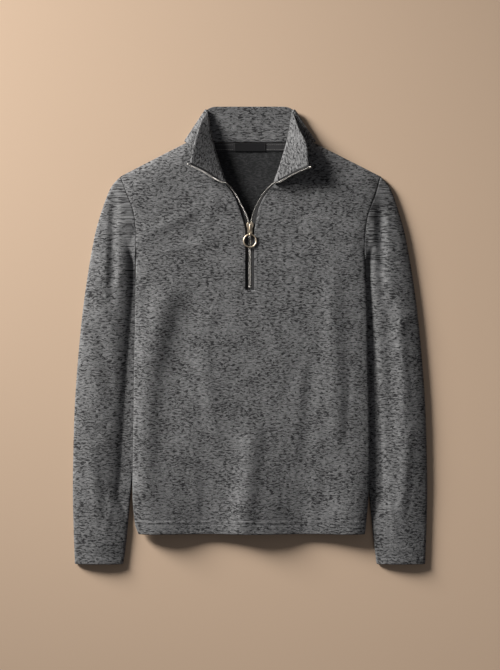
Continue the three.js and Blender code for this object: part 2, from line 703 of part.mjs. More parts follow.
function toManifold(geometry) {
  const bare = geometry.clone();
  bare.deleteAttribute('normal');
  bare.deleteAttribute('uv');
  const merged = mergeVertices(bare, 1e-4);
  const count = merged.attributes.position.count;
  const triVerts = merged.index ? merged.index.array : Uint32Array.from({ length: count }, (_, i) => i);
  const mesh = new wasm.Mesh({
    numProp: 3,
    vertProperties: Float32Array.from(merged.attributes.position.array),
    triVerts: Uint32Array.from(triVerts),
  });
  return new wasm.Manifold(mesh);
}

function toGeometry(manifold) {
  const mesh = manifold.getMesh();
  const geometry = new THREE.BufferGeometry();
  geometry.setAttribute('position', new THREE.Float32BufferAttribute(mesh.vertProperties, 3));
  geometry.setIndex(Array.from(mesh.triVerts));
  return geometry;
}

// Outline of a slider plate: two shoulders at the mouth, narrow at the foot
function sliderPlate(shoulder, foot, thick) {
  const outline = new THREE.Shape();
  outline.moveTo(-foot, SLIDER_FOOT_Y - 2.2);
  outline.lineTo(foot, SLIDER_FOOT_Y - 2.2);
  outline.lineTo(foot + 0.2, SLIDER_FOOT_Y + 8);
  outline.quadraticCurveTo(shoulder, SLIDER_FOOT_Y + 9.5, shoulder, SLIDER_TOP_Y - 4);
  outline.quadraticCurveTo(shoulder - 0.2, SLIDER_TOP_Y, shoulder - 3.2, SLIDER_TOP_Y);
  outline.quadraticCurveTo(0, SLIDER_TOP_Y - 2.6, -shoulder + 3.2, SLIDER_TOP_Y);
  outline.quadraticCurveTo(-shoulder + 0.2, SLIDER_TOP_Y, -shoulder, SLIDER_TOP_Y - 4);
  outline.quadraticCurveTo(-shoulder, SLIDER_FOOT_Y + 9.5, -foot - 0.2, SLIDER_FOOT_Y + 8);
  return new THREE.ExtrudeGeometry(outline, { depth: thick, bevelEnabled: false, curveSegments: 5 });
}

function makeSlider() {
  const upper = sliderPlate(6.1, 4, 1.5).translate(0, 0, teethTop + SEAM);
  const lower = sliderPlate(6.1, 4, 1.2).translate(0, 0, zipLevel - TEETH_THICK / 2 - SEAM - 1.2);
  const postHeight = 2 * SEAM + TEETH_THICK + 2;
  const post = new THREE.CylinderGeometry(0.9, 0.9, postHeight, 10);
  post.rotateX(Math.PI / 2).translate(0, SLIDER_TOP_Y - 2.6, zipLevel);
  const crown = new THREE.CapsuleGeometry(1.7, 8, 4, 10).translate(0, 193, teethTop + SEAM + 1.5);
  const ring = new THREE.Shape().absarc(0, 0, eyeOuter, 0, 2 * Math.PI, false);
  ring.holes.push(new THREE.Path().absarc(0, 0, RING_WIRE + EYE_PLAY, 0, 2 * Math.PI, true));
  const eye = new THREE.ExtrudeGeometry(ring, { depth: EYE_WIDTH, bevelEnabled: false, curveSegments: 12 });
  eye.translate(0, 0, -EYE_WIDTH / 2).rotateY(Math.PI / 2).translate(0, PIVOT_Y, pivotZ);
  const bore = new THREE.CylinderGeometry(RING_WIRE + EYE_PLAY, RING_WIRE + EYE_PLAY, 12, 24);
  bore.rotateZ(Math.PI / 2).translate(0, PIVOT_Y, pivotZ);
  const joined = [lower, post, crown, eye].reduce((whole, piece) => whole.add(toManifold(piece)), toManifold(upper));
  return toGeometry(joined.subtract(toManifold(bore)));
}

function makeRing() {
  const ring = new THREE.TorusGeometry(RING_OUTER - RING_WIRE, RING_WIRE, RING_SIDES, 32);
  return ring.translate(0, PIVOT_Y - RING_OUTER + RING_WIRE, pivotZ);
}

// Neck tape over the back neck seam, and the label on it
const NECK_TAPE_DEPTH = 15.2;
const LABEL_HALF = 28.4;

function makeBand(halfWidth, yLow, yHigh, level, thick, columns) {
  const line = (y, z) => {
    const points = [];
    for (let i = 0; i <= columns; i += 1) {
      const x = lerp(-halfWidth, halfWidth, i / columns);
      points.push(new THREE.Vector3(x, y, backTop(x, y) + z));
    }
    return points;
  };
  const upper = [line(yHigh, level + thick), line(yLow, level + thick)];
  return wall(upper, [line(yHigh, level), line(yLow, level)]);
}

const group = new THREE.Group();

function add(name, geometry, material) {
  const mesh = new THREE.Mesh(geometry, new THREE.MeshStandardMaterial(material));
  mesh.name = name;
  group.add(mesh);
  return mesh;
}

add('front', makeFront(), FLEECE);
add('back', makeBack(), FLEECE);
for (const side of SIDES) add(`sleeve_${side.name}`, makeSleeve(side), FLEECE);
add('collar', makeCollar(), FLEECE);
for (const side of SIDES) {
  add(`zip_tape_${side.name}`, makeTape(side), BLACK_TAPE);
  add(`zip_teeth_${side.name}`, makeTeeth(side), STEEL);
  const samples = zipSamples(side);
  const [before, last] = samples.slice(-2);
  const run = last.edge.clone().sub(before.edge);
  const stop = add(`zip_top_stop_${side.name}`, makeStop(TEETH_WIDTH, 3, TEETH_THICK), STEEL);
  stop.position.copy(zipPoint(last, last.width));
  stop.position.addScaledVector(run.clone().normalize(), 1.5 + SEAM);
  stop.rotation.z = Math.atan2(run.y, run.x) - Math.PI / 2;
}
const bottomStop = add('zip_bottom_stop', makeStop(5, 3.6, TEETH_THICK), STEEL);
bottomStop.position.set(0, ZIP_FOOT_Y - SEAM - 1.8, zipLevel);
add('zip_slider', makeSlider(), PALE_METAL);
add('zip_ring', makeRing(), PALE_METAL);
const tapeTop = NECK_POINT.y - SEAM;
add('neck_tape', makeBand(98, tapeTop - NECK_TAPE_DEPTH, tapeTop, SEAM, TAPE, 10), BLACK_TAPE);
const labelLevel = SEAM * 2 + TAPE;
add('neck_label', makeBand(LABEL_HALF, tapeTop - NECK_TAPE_DEPTH, tapeTop, labelLevel, 0.5, 2), SATIN);

// The origin is the middle of the plan, on the floor
const box = new THREE.Box3().setFromObject(group);
const middle = box.getCenter(new THREE.Vector3());
group.position.set(-middle.x, -middle.y, 0);

export default group;
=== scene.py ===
import math

import bpy
import numpy as np
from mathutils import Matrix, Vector


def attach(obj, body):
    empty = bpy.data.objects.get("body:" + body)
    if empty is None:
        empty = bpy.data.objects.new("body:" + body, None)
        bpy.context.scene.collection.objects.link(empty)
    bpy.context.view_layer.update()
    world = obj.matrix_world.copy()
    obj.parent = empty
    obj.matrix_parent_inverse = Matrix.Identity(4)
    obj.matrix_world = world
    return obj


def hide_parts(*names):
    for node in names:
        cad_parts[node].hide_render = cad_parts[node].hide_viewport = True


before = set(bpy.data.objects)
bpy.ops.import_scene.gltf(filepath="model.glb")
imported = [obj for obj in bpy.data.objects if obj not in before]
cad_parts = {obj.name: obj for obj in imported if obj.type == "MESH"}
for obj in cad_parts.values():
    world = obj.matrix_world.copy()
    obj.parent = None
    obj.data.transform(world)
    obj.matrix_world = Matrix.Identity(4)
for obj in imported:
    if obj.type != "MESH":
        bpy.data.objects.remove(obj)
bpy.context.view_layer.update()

# Floor, camera and light. The sweater lies on a pale warm floor. The camera looks straight down,
# and one soft lamp at the upper left gives long soft shadows to the lower right.
FLOOR_COLOR = (0.57, 0.42, 0.3, 1)
CAMERA_HEIGHT = 3.0
SEEN_LENGTH = 1.206


def place(tree, kind, inputs=None, **settings):
    node = tree.nodes.new(kind)
    for key, value in settings.items():
        setattr(node, key, value)
    for key, value in (inputs or {}).items():
        if isinstance(value, bpy.types.NodeSocket):
            tree.links.new(value, node.inputs[key])
        else:
            node.inputs[key].default_value = value
    return node


def new_material(name, **sockets):
    material = bpy.data.materials.new(name)
    material.use_nodes = True
    shader = material.node_tree.nodes["Principled BSDF"]
    for key, value in sockets.items():
        shader.inputs[key.replace("_", " ")].default_value = value
    return material, material.node_tree, shader


def new_group(name, *sockets):
    """An empty node group with its sockets, each given by its name, kind and side."""
    group = bpy.data.node_groups.new(name, "ShaderNodeTree")
    for socket_name, kind, side in sockets:
        group.interface.new_socket(socket_name, in_out=side, socket_type="NodeSocket" + kind)
    return group


floor_paint, tree, shader = new_material("floor_plaster", Roughness=0.9)
spot = place(tree, "ShaderNodeTexCoord")
mottle = place(tree, "ShaderNodeTexNoise", {"Vector": spot.outputs["Object"], "Scale": 1.4})
shade = place(tree, "ShaderNodeMix", {0: mottle.outputs["Fac"]}, data_type="RGBA")
shade.inputs[6].default_value = FLOOR_COLOR
shade.inputs[7].default_value = (0.6, 0.443, 0.32, 1)
tree.links.new(shade.outputs[2], shader.inputs["Base Color"])
bpy.ops.mesh.primitive_plane_add(size=12, location=(0, 0, -0.0006))
floor = bpy.context.object
floor.name = "floor"
floor.data.materials.append(floor_paint)

camera_data = bpy.data.cameras.new("camera")
camera_data.lens = camera_data.sensor_width * CAMERA_HEIGHT / SEEN_LENGTH
camera = bpy.data.objects.new("camera", camera_data)
camera.location = (0, 0.0006, CAMERA_HEIGHT)
bpy.context.scene.collection.objects.link(camera)
bpy.context.scene.camera = camera


def add_lamp(name, location, size, power, color, spread=180):
    data = bpy.data.lights.new(name, "AREA")
    data.spread = math.radians(spread)
    data.shape = "DISK"
    data.size = size
    data.energy = power
    data.color = color
    lamp = bpy.data.objects.new(name, data)
    lamp.location = location
    aim = -lamp.location
    lamp.rotation_mode = "QUATERNION"
    lamp.rotation_quaternion = aim.to_track_quat("-Z", "Y")
    bpy.context.scene.collection.objects.link(lamp)
    return lamp


add_lamp("window", (-3.2, 2.35, 1.3), 1.5, 46, (1, 0.97, 0.93), spread=54)
add_lamp("bounce", (1.6, -1.3, 2.4), 2.2, 3, (1, 0.96, 0.93))
world = bpy.data.worlds.new("studio")
world.use_nodes = True
world.node_tree.nodes["Background"].inputs["Color"].default_value = (0.97, 0.96, 1, 1)
world.node_tree.nodes["Background"].inputs["Strength"].default_value = 0.085
bpy.context.scene.world = world
bpy.context.scene.view_settings.view_transform = "Standard"

# Back panel. One piece of bonded sweater fleece, mottled grey outside and brushed dark inside, the
# inside's dark grey partly its own colour and partly painted shade.
# It lies on the floor, and its sides climb over the tucked-in edges of the sleeves.
# Its lower edge is turned up 25 mm and held by two rows of stitches.
CLOTH = 2.2
HEM_EXTRA = 0.8
PANEL_GAP = 0.8
HEM_Y = -357
HEM_DEPTH = 25
NECK_HALF = 114.7
NECK_Y = 345.8
SHOULDER_Y = 285
SHOULDER_HALF = 234
ARMPIT_Y = 150
CENTRE_SHIFT = 0.406
CLOTH_PITCH = 3.7
TUCK_LIFT = 6.2
HEM_STITCH_LINES = (-332, -338.4)

# Level, then half-width to the wearer's right and left
BODY_EDGE = [
    (285, 233, 235),
    (252, 220.5, 225),
    (223, 209.5, 214),
    (195, 205.8, 208),
    (150, 204.8, 205.6),
    (58, 205.5, 210),
    (-10, 206.8, 210.8),
    (-207, 209.7, 214.7),
    (-290, 210.6, 212.5),
    (-340, 206, 208),
    (-357, 200, 206),
]
# Folds as lines with a half-width and a height, troughs below zero
BACK_FOLDS = [
    (-70, 250, -20, 120, 26, 1.1),
    (60, 190, 95, 20, 24, 1.0),
    (-120, 40, -90, -160, 26, 1.2),
    (30, -60, 44, -300, 24, 1.1),
]


def ease(t):
    s = np.clip(t, 0, 1)
    return s * s * (3 - 2 * s)


def dome(distance, radius):
    return np.sqrt(1 - (1 - np.clip(distance / radius, 0, 1)) ** 2)


def mix(a, b, t):
    return a + (b - a) * t


def along(stations, values):
    """Smooth curve through values at stations."""
    stations = np.asarray(stations, float)
    values = np.asarray(values, float)
    if stations[0] > stations[-1]:
        stations = stations[::-1]
        values = values[::-1]
    before = np.maximum(np.arange(len(stations)) - 1, 0)
    after = np.minimum(np.arange(len(stations)) + 1, len(stations) - 1)
    slopes = (values[after] - values[before]) / (stations[after] - stations[before])

    def curve(x):
        i = np.clip(np.searchsorted(stations, x, side="right") - 1, 0, len(stations) - 2)
        span = stations[i + 1] - stations[i]
        t = np.clip((x - stations[i]) / span, 0, 1)
        rise = values[i + 1] - values[i]
        bend = slopes[i] * span * (1 - t) - slopes[i + 1] * span * t + rise * (2 * t - 1)
        return values[i] + rise * t + t * (1 - t) * bend

    return curve


def columns_of(table):
    """Smooth curves through the columns of a table, over its first column."""
    table = np.array(table, float)
    return [along(table[:, 0], table[:, i]) for i in range(1, table.shape[1])]


edge_right, edge_left = columns_of(BODY_EDGE)


def body_edge(x, y):
    return np.where(x < 0, edge_right(y), edge_left(y))


def fold_height(folds, x, y):
    height = 0
    for x1, y1, x2, y2, width, rise in folds:
        length = math.hypot(x2 - x1, y2 - y1)
        t = ((x - x1) * (x2 - x1) + (y - y1) * (y2 - y1)) / length**2
        off = np.abs((x - x1) * (y2 - y1) - (y - y1) * (x2 - x1)) / length
        fade = ease((t + 0.15) / 0.3) * ease((1.15 - t) / 0.3)
        height = height + rise * fade * ease(1 - off / width)
    return height


def side_lift(y):
    return TUCK_LIFT * ease((195 - y) / 45)


def hem_band(y):
    return ease((HEM_Y + HEM_DEPTH + 1 - y) / 3)


def stitch_dip(y):
    """Depth that the stitches pull into the cloth along a hem."""
    return sum(0.55 * np.exp(-(((y - line) / 1.3) ** 2)) for line in HEM_STITCH_LINES)


def back_bottom(x, y):
    from_side = body_edge(x, y) - np.abs(x)
    return side_lift(y) * (1 - ease((from_side - 20) / 45))


def back_top(x, y):
    fade = ease((body_edge(x, y) - np.abs(x) - 15) / 40)
    folds = np.maximum(fold_height(BACK_FOLDS, x, y), 0) * fade
    return back_bottom(x, y) + CLOTH + HEM_EXTRA * hem_band(y) + folds


def rim_steps(length, pitch=CLOTH_PITCH, extra=()):
    """Distances from 0 to length: even, but close together at both rims and at extra ones."""
    near = [0, 0.35, 0.9, 1.8]
    count = max(int(round((length - 7) / pitch)), 2)
    steps = list(np.linspace(3.5, length - 3.5, count + 1))
    for line in extra:
        steps = [s for s in steps if abs(s - line) > 2.2]
        steps += [line - 1.3, line, line + 1.3]
    return np.array(near + sorted(steps) + [length - d for d in reversed(near)])


def rim_swell(steps, radius=1.5):
    """Share of the cloth's thickness at each step, rounded off at both rims."""
    off = np.minimum(steps - steps[0], steps[-1] - steps)
    return 0.25 + 0.75 * dome(off, radius)


def coons(top, bottom, start, end, u, v):
    """Plan points between four edge curves given at u and v, as rows of v by columns of u."""
    u = u[None, :, None]
    v = v[:, None, None]
    ruled = top[None] * (1 - v) + bottom[None] * v + start[:, None] * (1 - u) + end[:, None] * u
    corners = top[0] * (1 - u) * (1 - v) + top[-1] * u * (1 - v)
    corners = corners + bottom[0] * (1 - u) * v + bottom[-1] * u * v
    return ruled - corners


def cloth_piece(name, outer, inner, flat, materials, wraps=False, opening=None):
    """A closed piece of cloth between two grids of points in mm. flat holds each point's place
    on the cloth, which the weave follows. Materials are the right side and the wrong side."""
    rows, columns = outer.shape[:2]
    number = np.arange(2 * rows * columns).reshape(2, rows, columns)
    if wraps:
        number = np.concatenate([number, number[:, :, :1]], axis=2)
    filled = np.ones((rows - 1, number.shape[2] - 1), bool)
    if opening is not None:
        filled &= ~opening
    a, b, c, d = (
        number[:, :-1, :-1],
        number[:, 1:, :-1],
        number[:, 1:, 1:],
        number[:, :-1, 1:],
    )
    ring = np.pad(filled, 1)
    if wraps:
        ring[:, 0] = ring[:, -2]
        ring[:, -1] = ring[:, 1]
    above, below = ring[:-2, 1:-1], ring[2:, 1:-1]
    before, after = ring[1:-1, :-2], ring[1:-1, 2:]

    def quads(where, *corners):
        return np.stack([corner[where] for corner in corners], axis=1)

    faces = [
        quads(filled, a[0], b[0], c[0], d[0]),
        quads(filled, a[1], d[1], c[1], b[1]),
        quads(filled & ~above, a[0], d[0], d[1], a[1]),
        quads(filled & ~below, c[0], b[0], b[1], c[1]),
        quads(filled & ~before, b[0], a[0], a[1], b[1]),
        quads(filled & ~after, d[0], c[0], c[1], d[1]),
    ]
    looks = np.concatenate([np.full(len(f), 1 if i == 1 else 0) for i, f in enumerate(faces)])
    faces = np.concatenate(faces)
    points = np.concatenate([outer.reshape(-1, 3), inner.reshape(-1, 3)])
    places = np.concatenate([flat.reshape(-1, 2), flat.reshape(-1, 2) + 400])
    p, q, r = points[faces[:, 0]], points[faces[:, 1]], points[faces[:, 2]]
    s = points[faces[:, 3]]
    volume = (p * np.cross(q, r)).sum() + (p * np.cross(r, s)).sum()
    if volume < 0:
        faces = faces[:, ::-1]
    used, compact = np.unique(faces, return_inverse=True)
    faces = compact.reshape(faces.shape)
    return solid_piece(name, points[used], faces, materials, looks, places[used])


def solid_piece(name, points, faces, materials, looks=None, places=None):
    """An object from points in mm and faces."""
    points = (np.asarray(points, float) + [0, CENTRE_SHIFT, 0]) / 1000
    mesh = bpy.data.meshes.new(name)
    mesh.from_pydata(points.tolist(), [], [list(face) for face in faces])
    mesh.polygons.foreach_set("use_smooth", [True] * len(mesh.polygons))
    if looks is not None:
        mesh.polygons.foreach_set("material_index", np.asarray(looks, dtype=np.int32))
    if places is not None:
        attribute = mesh.attributes.new("cloth", "FLOAT_VECTOR", "POINT")
        places = np.column_stack([places, np.zeros(len(places))])
        attribute.data.foreach_set("vector", places.ravel())
    for material in materials:
        mesh.materials.append(material)
    mesh.update()
    piece = bpy.data.objects.new(name, mesh)
    bpy.context.scene.collection.objects.link(piece)
    return piece


def half_edges(sign, u, v, top, centre, hem_centre):
    """The four edges of half a body panel, from its side (u = 0) to its centre (u = 1)."""
    edge = edge_right if sign < 0 else edge_left
    y = mix(SHOULDER_Y, HEM_Y, v)
    side = np.column_stack([sign * edge(y), y])
    hem_half = mix(edge(HEM_Y), hem_centre, u)
    hem = np.column_stack([sign * hem_half, np.full(len(u), float(HEM_Y))])
    return coons(top, hem, side, centre, u, v)


def shoulder_line(sign, u, neck_column, neck):
    """Top edge of half a panel: the shoulder slope, then the neck curve."""
    tip = edge_right(SHOULDER_Y) if sign < 0 else edge_left(SHOULDER_Y)
    t = u / neck_column
    slope = np.column_stack([sign * mix(tip, NECK_HALF, t), mix(SHOULDER_Y, NECK_Y, t)])
    around = neck(np.clip((u - neck_column) / (1 - neck_column), 0, 1))
    return np.where((u > neck_column)[:, None], around, slope)


# The mottled yarn, a group used in every outside face of the sweater
melange = new_group(
    "melange_yarn",
    ("Cloth", "Vector", "INPUT"),
    ("Ground", "Color", "INPUT"),
    ("Fleck", "Color", "INPUT"),
    ("Fleck Share", "Float", "INPUT"),
    ("Color", "Color", "OUTPUT"),
    ("Height", "Float", "OUTPUT"),
)
given = place(melange, "NodeGroupInput")


def yarn_noise(vector, stretch, detail, distortion=0.0):
    """Noise whose spots are stretch mm long and high."""
    size = tuple(1 / s for s in stretch) + (1,)
    scaled = place(melange, "ShaderNodeVectorMath", {0: vector, 1: size}, operation="MULTIPLY")
    return place(
        melange,
        "ShaderNodeTexNoise",
        {"Vector": scaled.outputs[0], "Scale": 1, "Detail": detail, "Distortion": distortion},
    ).outputs["Fac"]


def calculate(tree, operation, *values, clamped=False):
    numbers = dict(enumerate(values))
    node = place(tree, "ShaderNodeMath", numbers, operation=operation, use_clamp=clamped)
    return node.outputs[0]


sway = place(
    melange,
    "ShaderNodeTexNoise",
    {"Vector": given.outputs["Cloth"], "Scale": 0.07, "Detail": 2},
)
sway = place(
    melange,
    "ShaderNodeVectorMath",
    {0: sway.outputs["Color"], 1: (0.5, 0.5, 0.5)},
    operation="SUBTRACT",
)
sway = place(
    melange,
    "ShaderNodeVectorMath",
    {0: sway.outputs[0], 1: (9, 9, 0), 2: given.outputs["Cloth"]},
    operation="MULTIPLY_ADD",
).outputs[0]
slub = yarn_noise(sway, (7.6, 2.5), 2.6)
nib = yarn_noise(sway, (3.2, 1.4), 1.5)
drift = yarn_noise(sway, (40, 30), 1)
haze = yarn_noise(sway, (7, 2.6), 4)
nap = yarn_noise(given.outputs["Cloth"], (0.8, 0.55), 2)
blend = calculate(melange, "MULTIPLY_ADD", nib, 0.42, slub)
blend = calculate(melange, "MULTIPLY_ADD", drift, 0.2, blend)
blend = calculate(melange, "ADD", blend, given.outputs["Fleck Share"])
fleck = place(
    melange,
    "ShaderNodeMapRange",
    {"Value": blend, "From Min": 0.835, "From Max": 0.91},
    interpolation_type="SMOOTHSTEP",
).outputs["Result"]
tone = calculate(melange, "MULTIPLY_ADD", haze, 2.6, -0.3)
tone = calculate(melange, "MULTIPLY_ADD", calculate(melange, "SUBTRACT", nap, 0.5), 1.1, tone)
tone = calculate(melange, "MULTIPLY_ADD", calculate(melange, "SUBTRACT", drift, 0.5), -0.35, tone)
tone = calculate(melange, "MAXIMUM", tone, 0.2)
ground = place(
    melange,
    "ShaderNodeVectorMath",
    {0: given.outputs["Ground"], 3: tone},
    operation="SCALE",
)
stained = place(melange, "ShaderNodeMix", {0: fleck}, data_type="RGBA")
melange.links.new(ground.outputs[0], stained.inputs[6])
melange.links.new(given.outputs["Fleck"], stained.inputs[7])
height = calculate(melange, "MULTIPLY_ADD", haze, 0.7, nap)
height = calculate(melange, "MULTIPLY_ADD", fleck, -0.35, height)
result = place(melange, "NodeGroupOutput")
melange.links.new(stained.outputs[2], result.inputs["Color"])
melange.links.new(height, result.inputs["Height"])


def fleece(name, ground, fleck, share, bump, sheen):
    material, tree, shader = new_material(
        name,
        Roughness=0.93,
        Sheen_Weight=sheen,
        Sheen_Roughness=0.4,
        Specular_IOR_Level=0.2,
    )
    spot = place(tree, "ShaderNodeAttribute", attribute_name="cloth")
    yarn = place(tree, "ShaderNodeGroup", node_tree=melange)
    yarn.inputs["Ground"].default_value = ground
    yarn.inputs["Fleck"].default_value = fleck
    yarn.inputs["Fleck Share"].default_value = share
    tree.links.new(spot.outputs["Vector"], yarn.inputs["Cloth"])
    relief = place(
        tree,
        "ShaderNodeBump",
        {"Height": yarn.outputs["Height"], "Strength": bump, "Distance": 0.0009},
    )
    tree.links.new(yarn.outputs["Color"], shader.inputs["Base Color"])
    tree.links.new(relief.outputs["Normal"], shader.inputs["Normal"])
    return material


outside = fleece("melange_fleece", (0.158, 0.16, 0.164, 1), (0.028, 0.028, 0.03, 1), 0, 0.8, 0.04)
# The inside's dark grey is partly the brushed fleece's own darker colour and partly painted shade
# for the hollow inside the garment.
inside = fleece("brushed_fleece_painted_shade", (0.036, 0.037, 0.039, 1), (0.02, 0.021, 0.022, 1), 0.05, 0.6, 0.05)


def garment_cloth(piece, node):
    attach(piece, "garment")
    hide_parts(node)


def panel_grid(plan, height_top, height_bottom, swell):
    """Upper and lower points of a panel from its plan, its heights and its rounded rims."""
    x, y = plan[..., 0], plan[..., 1]
    top = height_top(x, y)
    bottom = height_bottom(x, y)
    middle = (top + bottom) / 2
    half = (top - bottom) / 2 * swell
    return np.dstack([x, y, middle + half]), np.dstack([x, y, middle - half])


def unit(vectors):
    return vectors / np.maximum(np.linalg.norm(vectors, axis=-1, keepdims=True), 1e-9)


def resampled(points, spacing, *others):
    """Points at even distances along a line, and other values of the line at the same places."""
    run = np.concatenate([[0], np.cumsum(np.linalg.norm(np.diff(points, axis=0), axis=1))])
    stops = np.arange(spacing / 2, run[-1] - spacing / 4, spacing)
    found = []
    for values in (points, *others):
        found.append(np.column_stack([np.interp(stops, run, v) for v in values.T]))
    return found


def surface_up(height, x, y):
    """Directions out of a height surface."""
    slope_x = (height(x + 1, y) - height(x - 1, y)) / 2
    slope_y = (height(x, y + 1) - height(x, y - 1)) / 2
    return unit(np.column_stack([-slope_x, -slope_y, np.ones(len(x))]))


STITCH_PITCH = 3.3
STITCH_LENGTH = 2.7
THREAD_RADIUS = 0.34
STITCH_SIDES = 6
# Along a stitch: place, share of the thread's radius, and how far its ends dive into the cloth
STITCH_PROFILE = [(-1, 0.35, -0.6), (-0.72, 0.85, -0.15), (-0.25, 1, 0.1), (0.25, 1, 0.1)]
STITCH_PROFILE += [(0.72, 0.85, -0.15), (1, 0.35, -0.6)]


def stitching(name, rows, material, pitch=STITCH_PITCH, length=STITCH_LENGTH):
    """Thread lying on the cloth in single stitches. Each row is a line and the way out of it."""
    points, faces = [], []
    angle = np.arange(STITCH_SIDES) * 2 * np.pi / STITCH_SIDES
    rings = len(STITCH_PROFILE)
    for line, out in rows:
        centres, ups = resampled(line, pitch, out)
        ways = unit(np.gradient(centres, axis=0))
        sides = unit(np.cross(ups, ways))
        ups = np.cross(ways, sides)
        for centre, way, side, up in zip(centres, ways, sides, ups):
            first = len(points)
            for at, share, dive in STITCH_PROFILE:
                middle = centre + way * at * length / 2 + up * dive * THREAD_RADIUS
                radius = THREAD_RADIUS * share
                for a in angle:
                    points.append(middle + radius * (side * math.cos(a) + up * math.sin(a)))
            for r in range(rings - 1):
                for i in range(STITCH_SIDES):
                    low = first + r * STITCH_SIDES
                    j = (i + 1) % STITCH_SIDES
                    faces.append((low + i, low + j, low + STITCH_SIDES + j, low + STITCH_SIDES + i))
            faces.append(tuple(first + i for i in reversed(range(STITCH_SIDES))))
            last = first + (rings - 1) * STITCH_SIDES
            faces.append(tuple(last + i for i in range(STITCH_SIDES)))
    piece = solid_piece(name, points, faces, [material])
    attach(piece, "garment")
    return piece


def spun_thread(name, color):
    """Sewing thread, with the twist of its plies."""
    material, tree, shader = new_material(
        name, Roughness=0.6, Sheen_Weight=0.2, Specular_IOR_Level=0.35
    )
    spot = place(tree, "ShaderNodeTexCoord")
    ply = place(
        tree,
        "ShaderNodeTexWave",
        {"Vector": spot.outputs["Object"], "Scale": 900, "Distortion": 1.5, "Detail": 1},
        bands_direction="DIAGONAL",
    )
    shade = place(tree, "ShaderNodeMix", {0: ply.outputs["Fac"]}, data_type="RGBA")
    shade.inputs[6].default_value = tuple(c * 0.7 for c in color) + (1,)
    shade.inputs[7].default_value = tuple(color) + (1,)
    relief = place(
        tree, "ShaderNodeBump", {"Height": ply.outputs["Fac"], "Strength": 0.4, "Distance": 0.0001}
    )
    tree.links.new(shade.outputs[2], shader.inputs["Base Color"])
    tree.links.new(relief.outputs["Normal"], shader.inputs["Normal"])
    return material


grey_thread = spun_thread("grey_thread", (0.11, 0.112, 0.116))


def hem_rows(height, side_gap, out_sign):
    """The two stitched lines across a panel's hem."""
    rows = []
    for line in HEM_STITCH_LINES:
        x = np.arange(-float(edge_right(line)) + side_gap, float(edge_left(line)) - side_gap, 1.0)
        y = np.full(len(x), float(line))
        up = surface_up(height, x, y) * out_sign
        rows.append((np.column_stack([x, y, height(x, y)]) + up * 0.1, up))
    return rows


NECK_COLUMN = 0.42
BACK_HALF = 205
back_down = rim_steps(NECK_Y - HEM_Y, extra=[NECK_Y - line for line in HEM_STITCH_LINES])
back_across = rim_steps(BACK_HALF)[:-4]
back_v = back_down / (NECK_Y - HEM_Y)
back_u = np.append(back_across / BACK_HALF, 1.0)
halves = []
for sign in (-1, 1):
    def flat_neck(t):
        return np.column_stack([sign * mix(NECK_HALF, 0, t), np.full(len(t), NECK_Y)])

    top = shoulder_line(sign, back_u, NECK_COLUMN, flat_neck)
    centre = np.column_stack([np.zeros(len(back_v)), mix(NECK_Y, HEM_Y, back_v)])
    halves.append(half_edges(sign, back_u, back_v, top, centre, 0))
back_plan = np.concatenate([halves[0], halves[1][:, -2::-1]], axis=1)
side_steps = [back_u * BACK_HALF, 2 * BACK_HALF - back_u[-2::-1] * BACK_HALF]
side_swell = rim_swell(np.concatenate(side_steps))
back_swell = np.minimum(rim_swell(back_down)[:, None], side_swell[None, :])
back_outer, back_inner = panel_grid(back_plan, back_top, back_bottom, back_swell)
back = cloth_piece("back_panel", back_inner, back_outer, back_plan, [outside, inside])
back_stitches = stitching("back_hem_stitches", hem_rows(back_bottom, 3, -1), grey_thread)
garment_cloth(back, "back")

# Front panel. The same fleece over the back, with a slit down its centre for the zip and a deep
# neck. It stands off the back by the soft bulk of the cloth and falls to its side seams.
BODY_HOLLOW = 11
ARMHOLE_RISE = 8.5
FRONT_NECK_Y = 270
SLIT_END_Y = 80.5
SIDE_ROUNDING = 45
SHOULDER_ROUNDING = 40
SLIT_STRIP = 6
SLIT_HALF = 8.1
FRONT_HALF = 200
HEM_WAVE = 5
HEM_WAVE_LENGTH = 180
HEM_WAVE_CREST = -171
HEM_WAVE_FADE = 200

# Level, half-width of the front's edge right and left, and of the middle of the teeth
ZIP_EDGE = [
    (270, 43, 43.5, 40, 40.5),
    (251, 29.5, 27.5, 25, 23),
    (229, 19.5, 16.5, 14, 11),
    (216, 15.5, 13.5, 7.4, 5.8),
    (204, 12, 11, 3, 2.6),
    (190, 8.6, 8.5, 1.4, 1.4),
    (180, 8.1, 8.1, 1.4, 1.4),
    (80, 8.1, 8.1, 1.4, 1.4),
]
zip_edge_right, zip_edge_left, teeth_right, teeth_left = columns_of(ZIP_EDGE)
NECK_SEAM = [
    (0, 114.7, 345.8),
    (0.25, 104.5, 330),
    (0.5, 87, 305.5),
    (0.75, 65, 288),
    (1, 43, 270),
]
neck_half, neck_level = columns_of(NECK_SEAM)
FRONT_FOLDS = [
    (-154, 76, -184, -60, 38, 5),
    (-188, -70, -196, -290, 34, 4),
    (-100, 70, -142, -120, 44, -3),
    (-144, -130, -150, -340, 40, -1.8),
    (4, -165, -14, -350, 31, 4.6),
    (146, 110, 156, -190, 26, 3),
    (112, -40, 98, -230, 20, -1.8),
    (-196, 176, -95, 225, 18, 2),
    (198, 176, 100, 205, 18, 2),
    (-150, 150, -60, 170, 13, 0.9),
    (160, 140, 70, 150, 14, 0.8),
    (-84, -40, -60, -190, 20, 1.6),
    (-60, 250, -100, 130, 16, 0.8),
    (62, 245, 110, 150, 16, -0.7),
    (20, 60, 60, -40, 20, 0.8),
    (-40, 40, -90, -20, 18, -0.8),
    (95, -30, 60, -120, 16, -0.9),
    (-80, -90, -30, -150, 20, 0.7),
    (-100, -220, -96, -345, 14, 1),
    (120, -230, 110, -350, 16, 1.1),
    (178, -60, 172, -200, 12, -0.8),
    (-196, 60, -190, -60, 9, 0.8),
]


def armhole_rise(y):
    down = np.clip((SHOULDER_Y - y) / (SHOULDER_Y - ARMPIT_Y), 0, 1)
    return ARMHOLE_RISE * np.sin(np.pi * down) ** 0.7


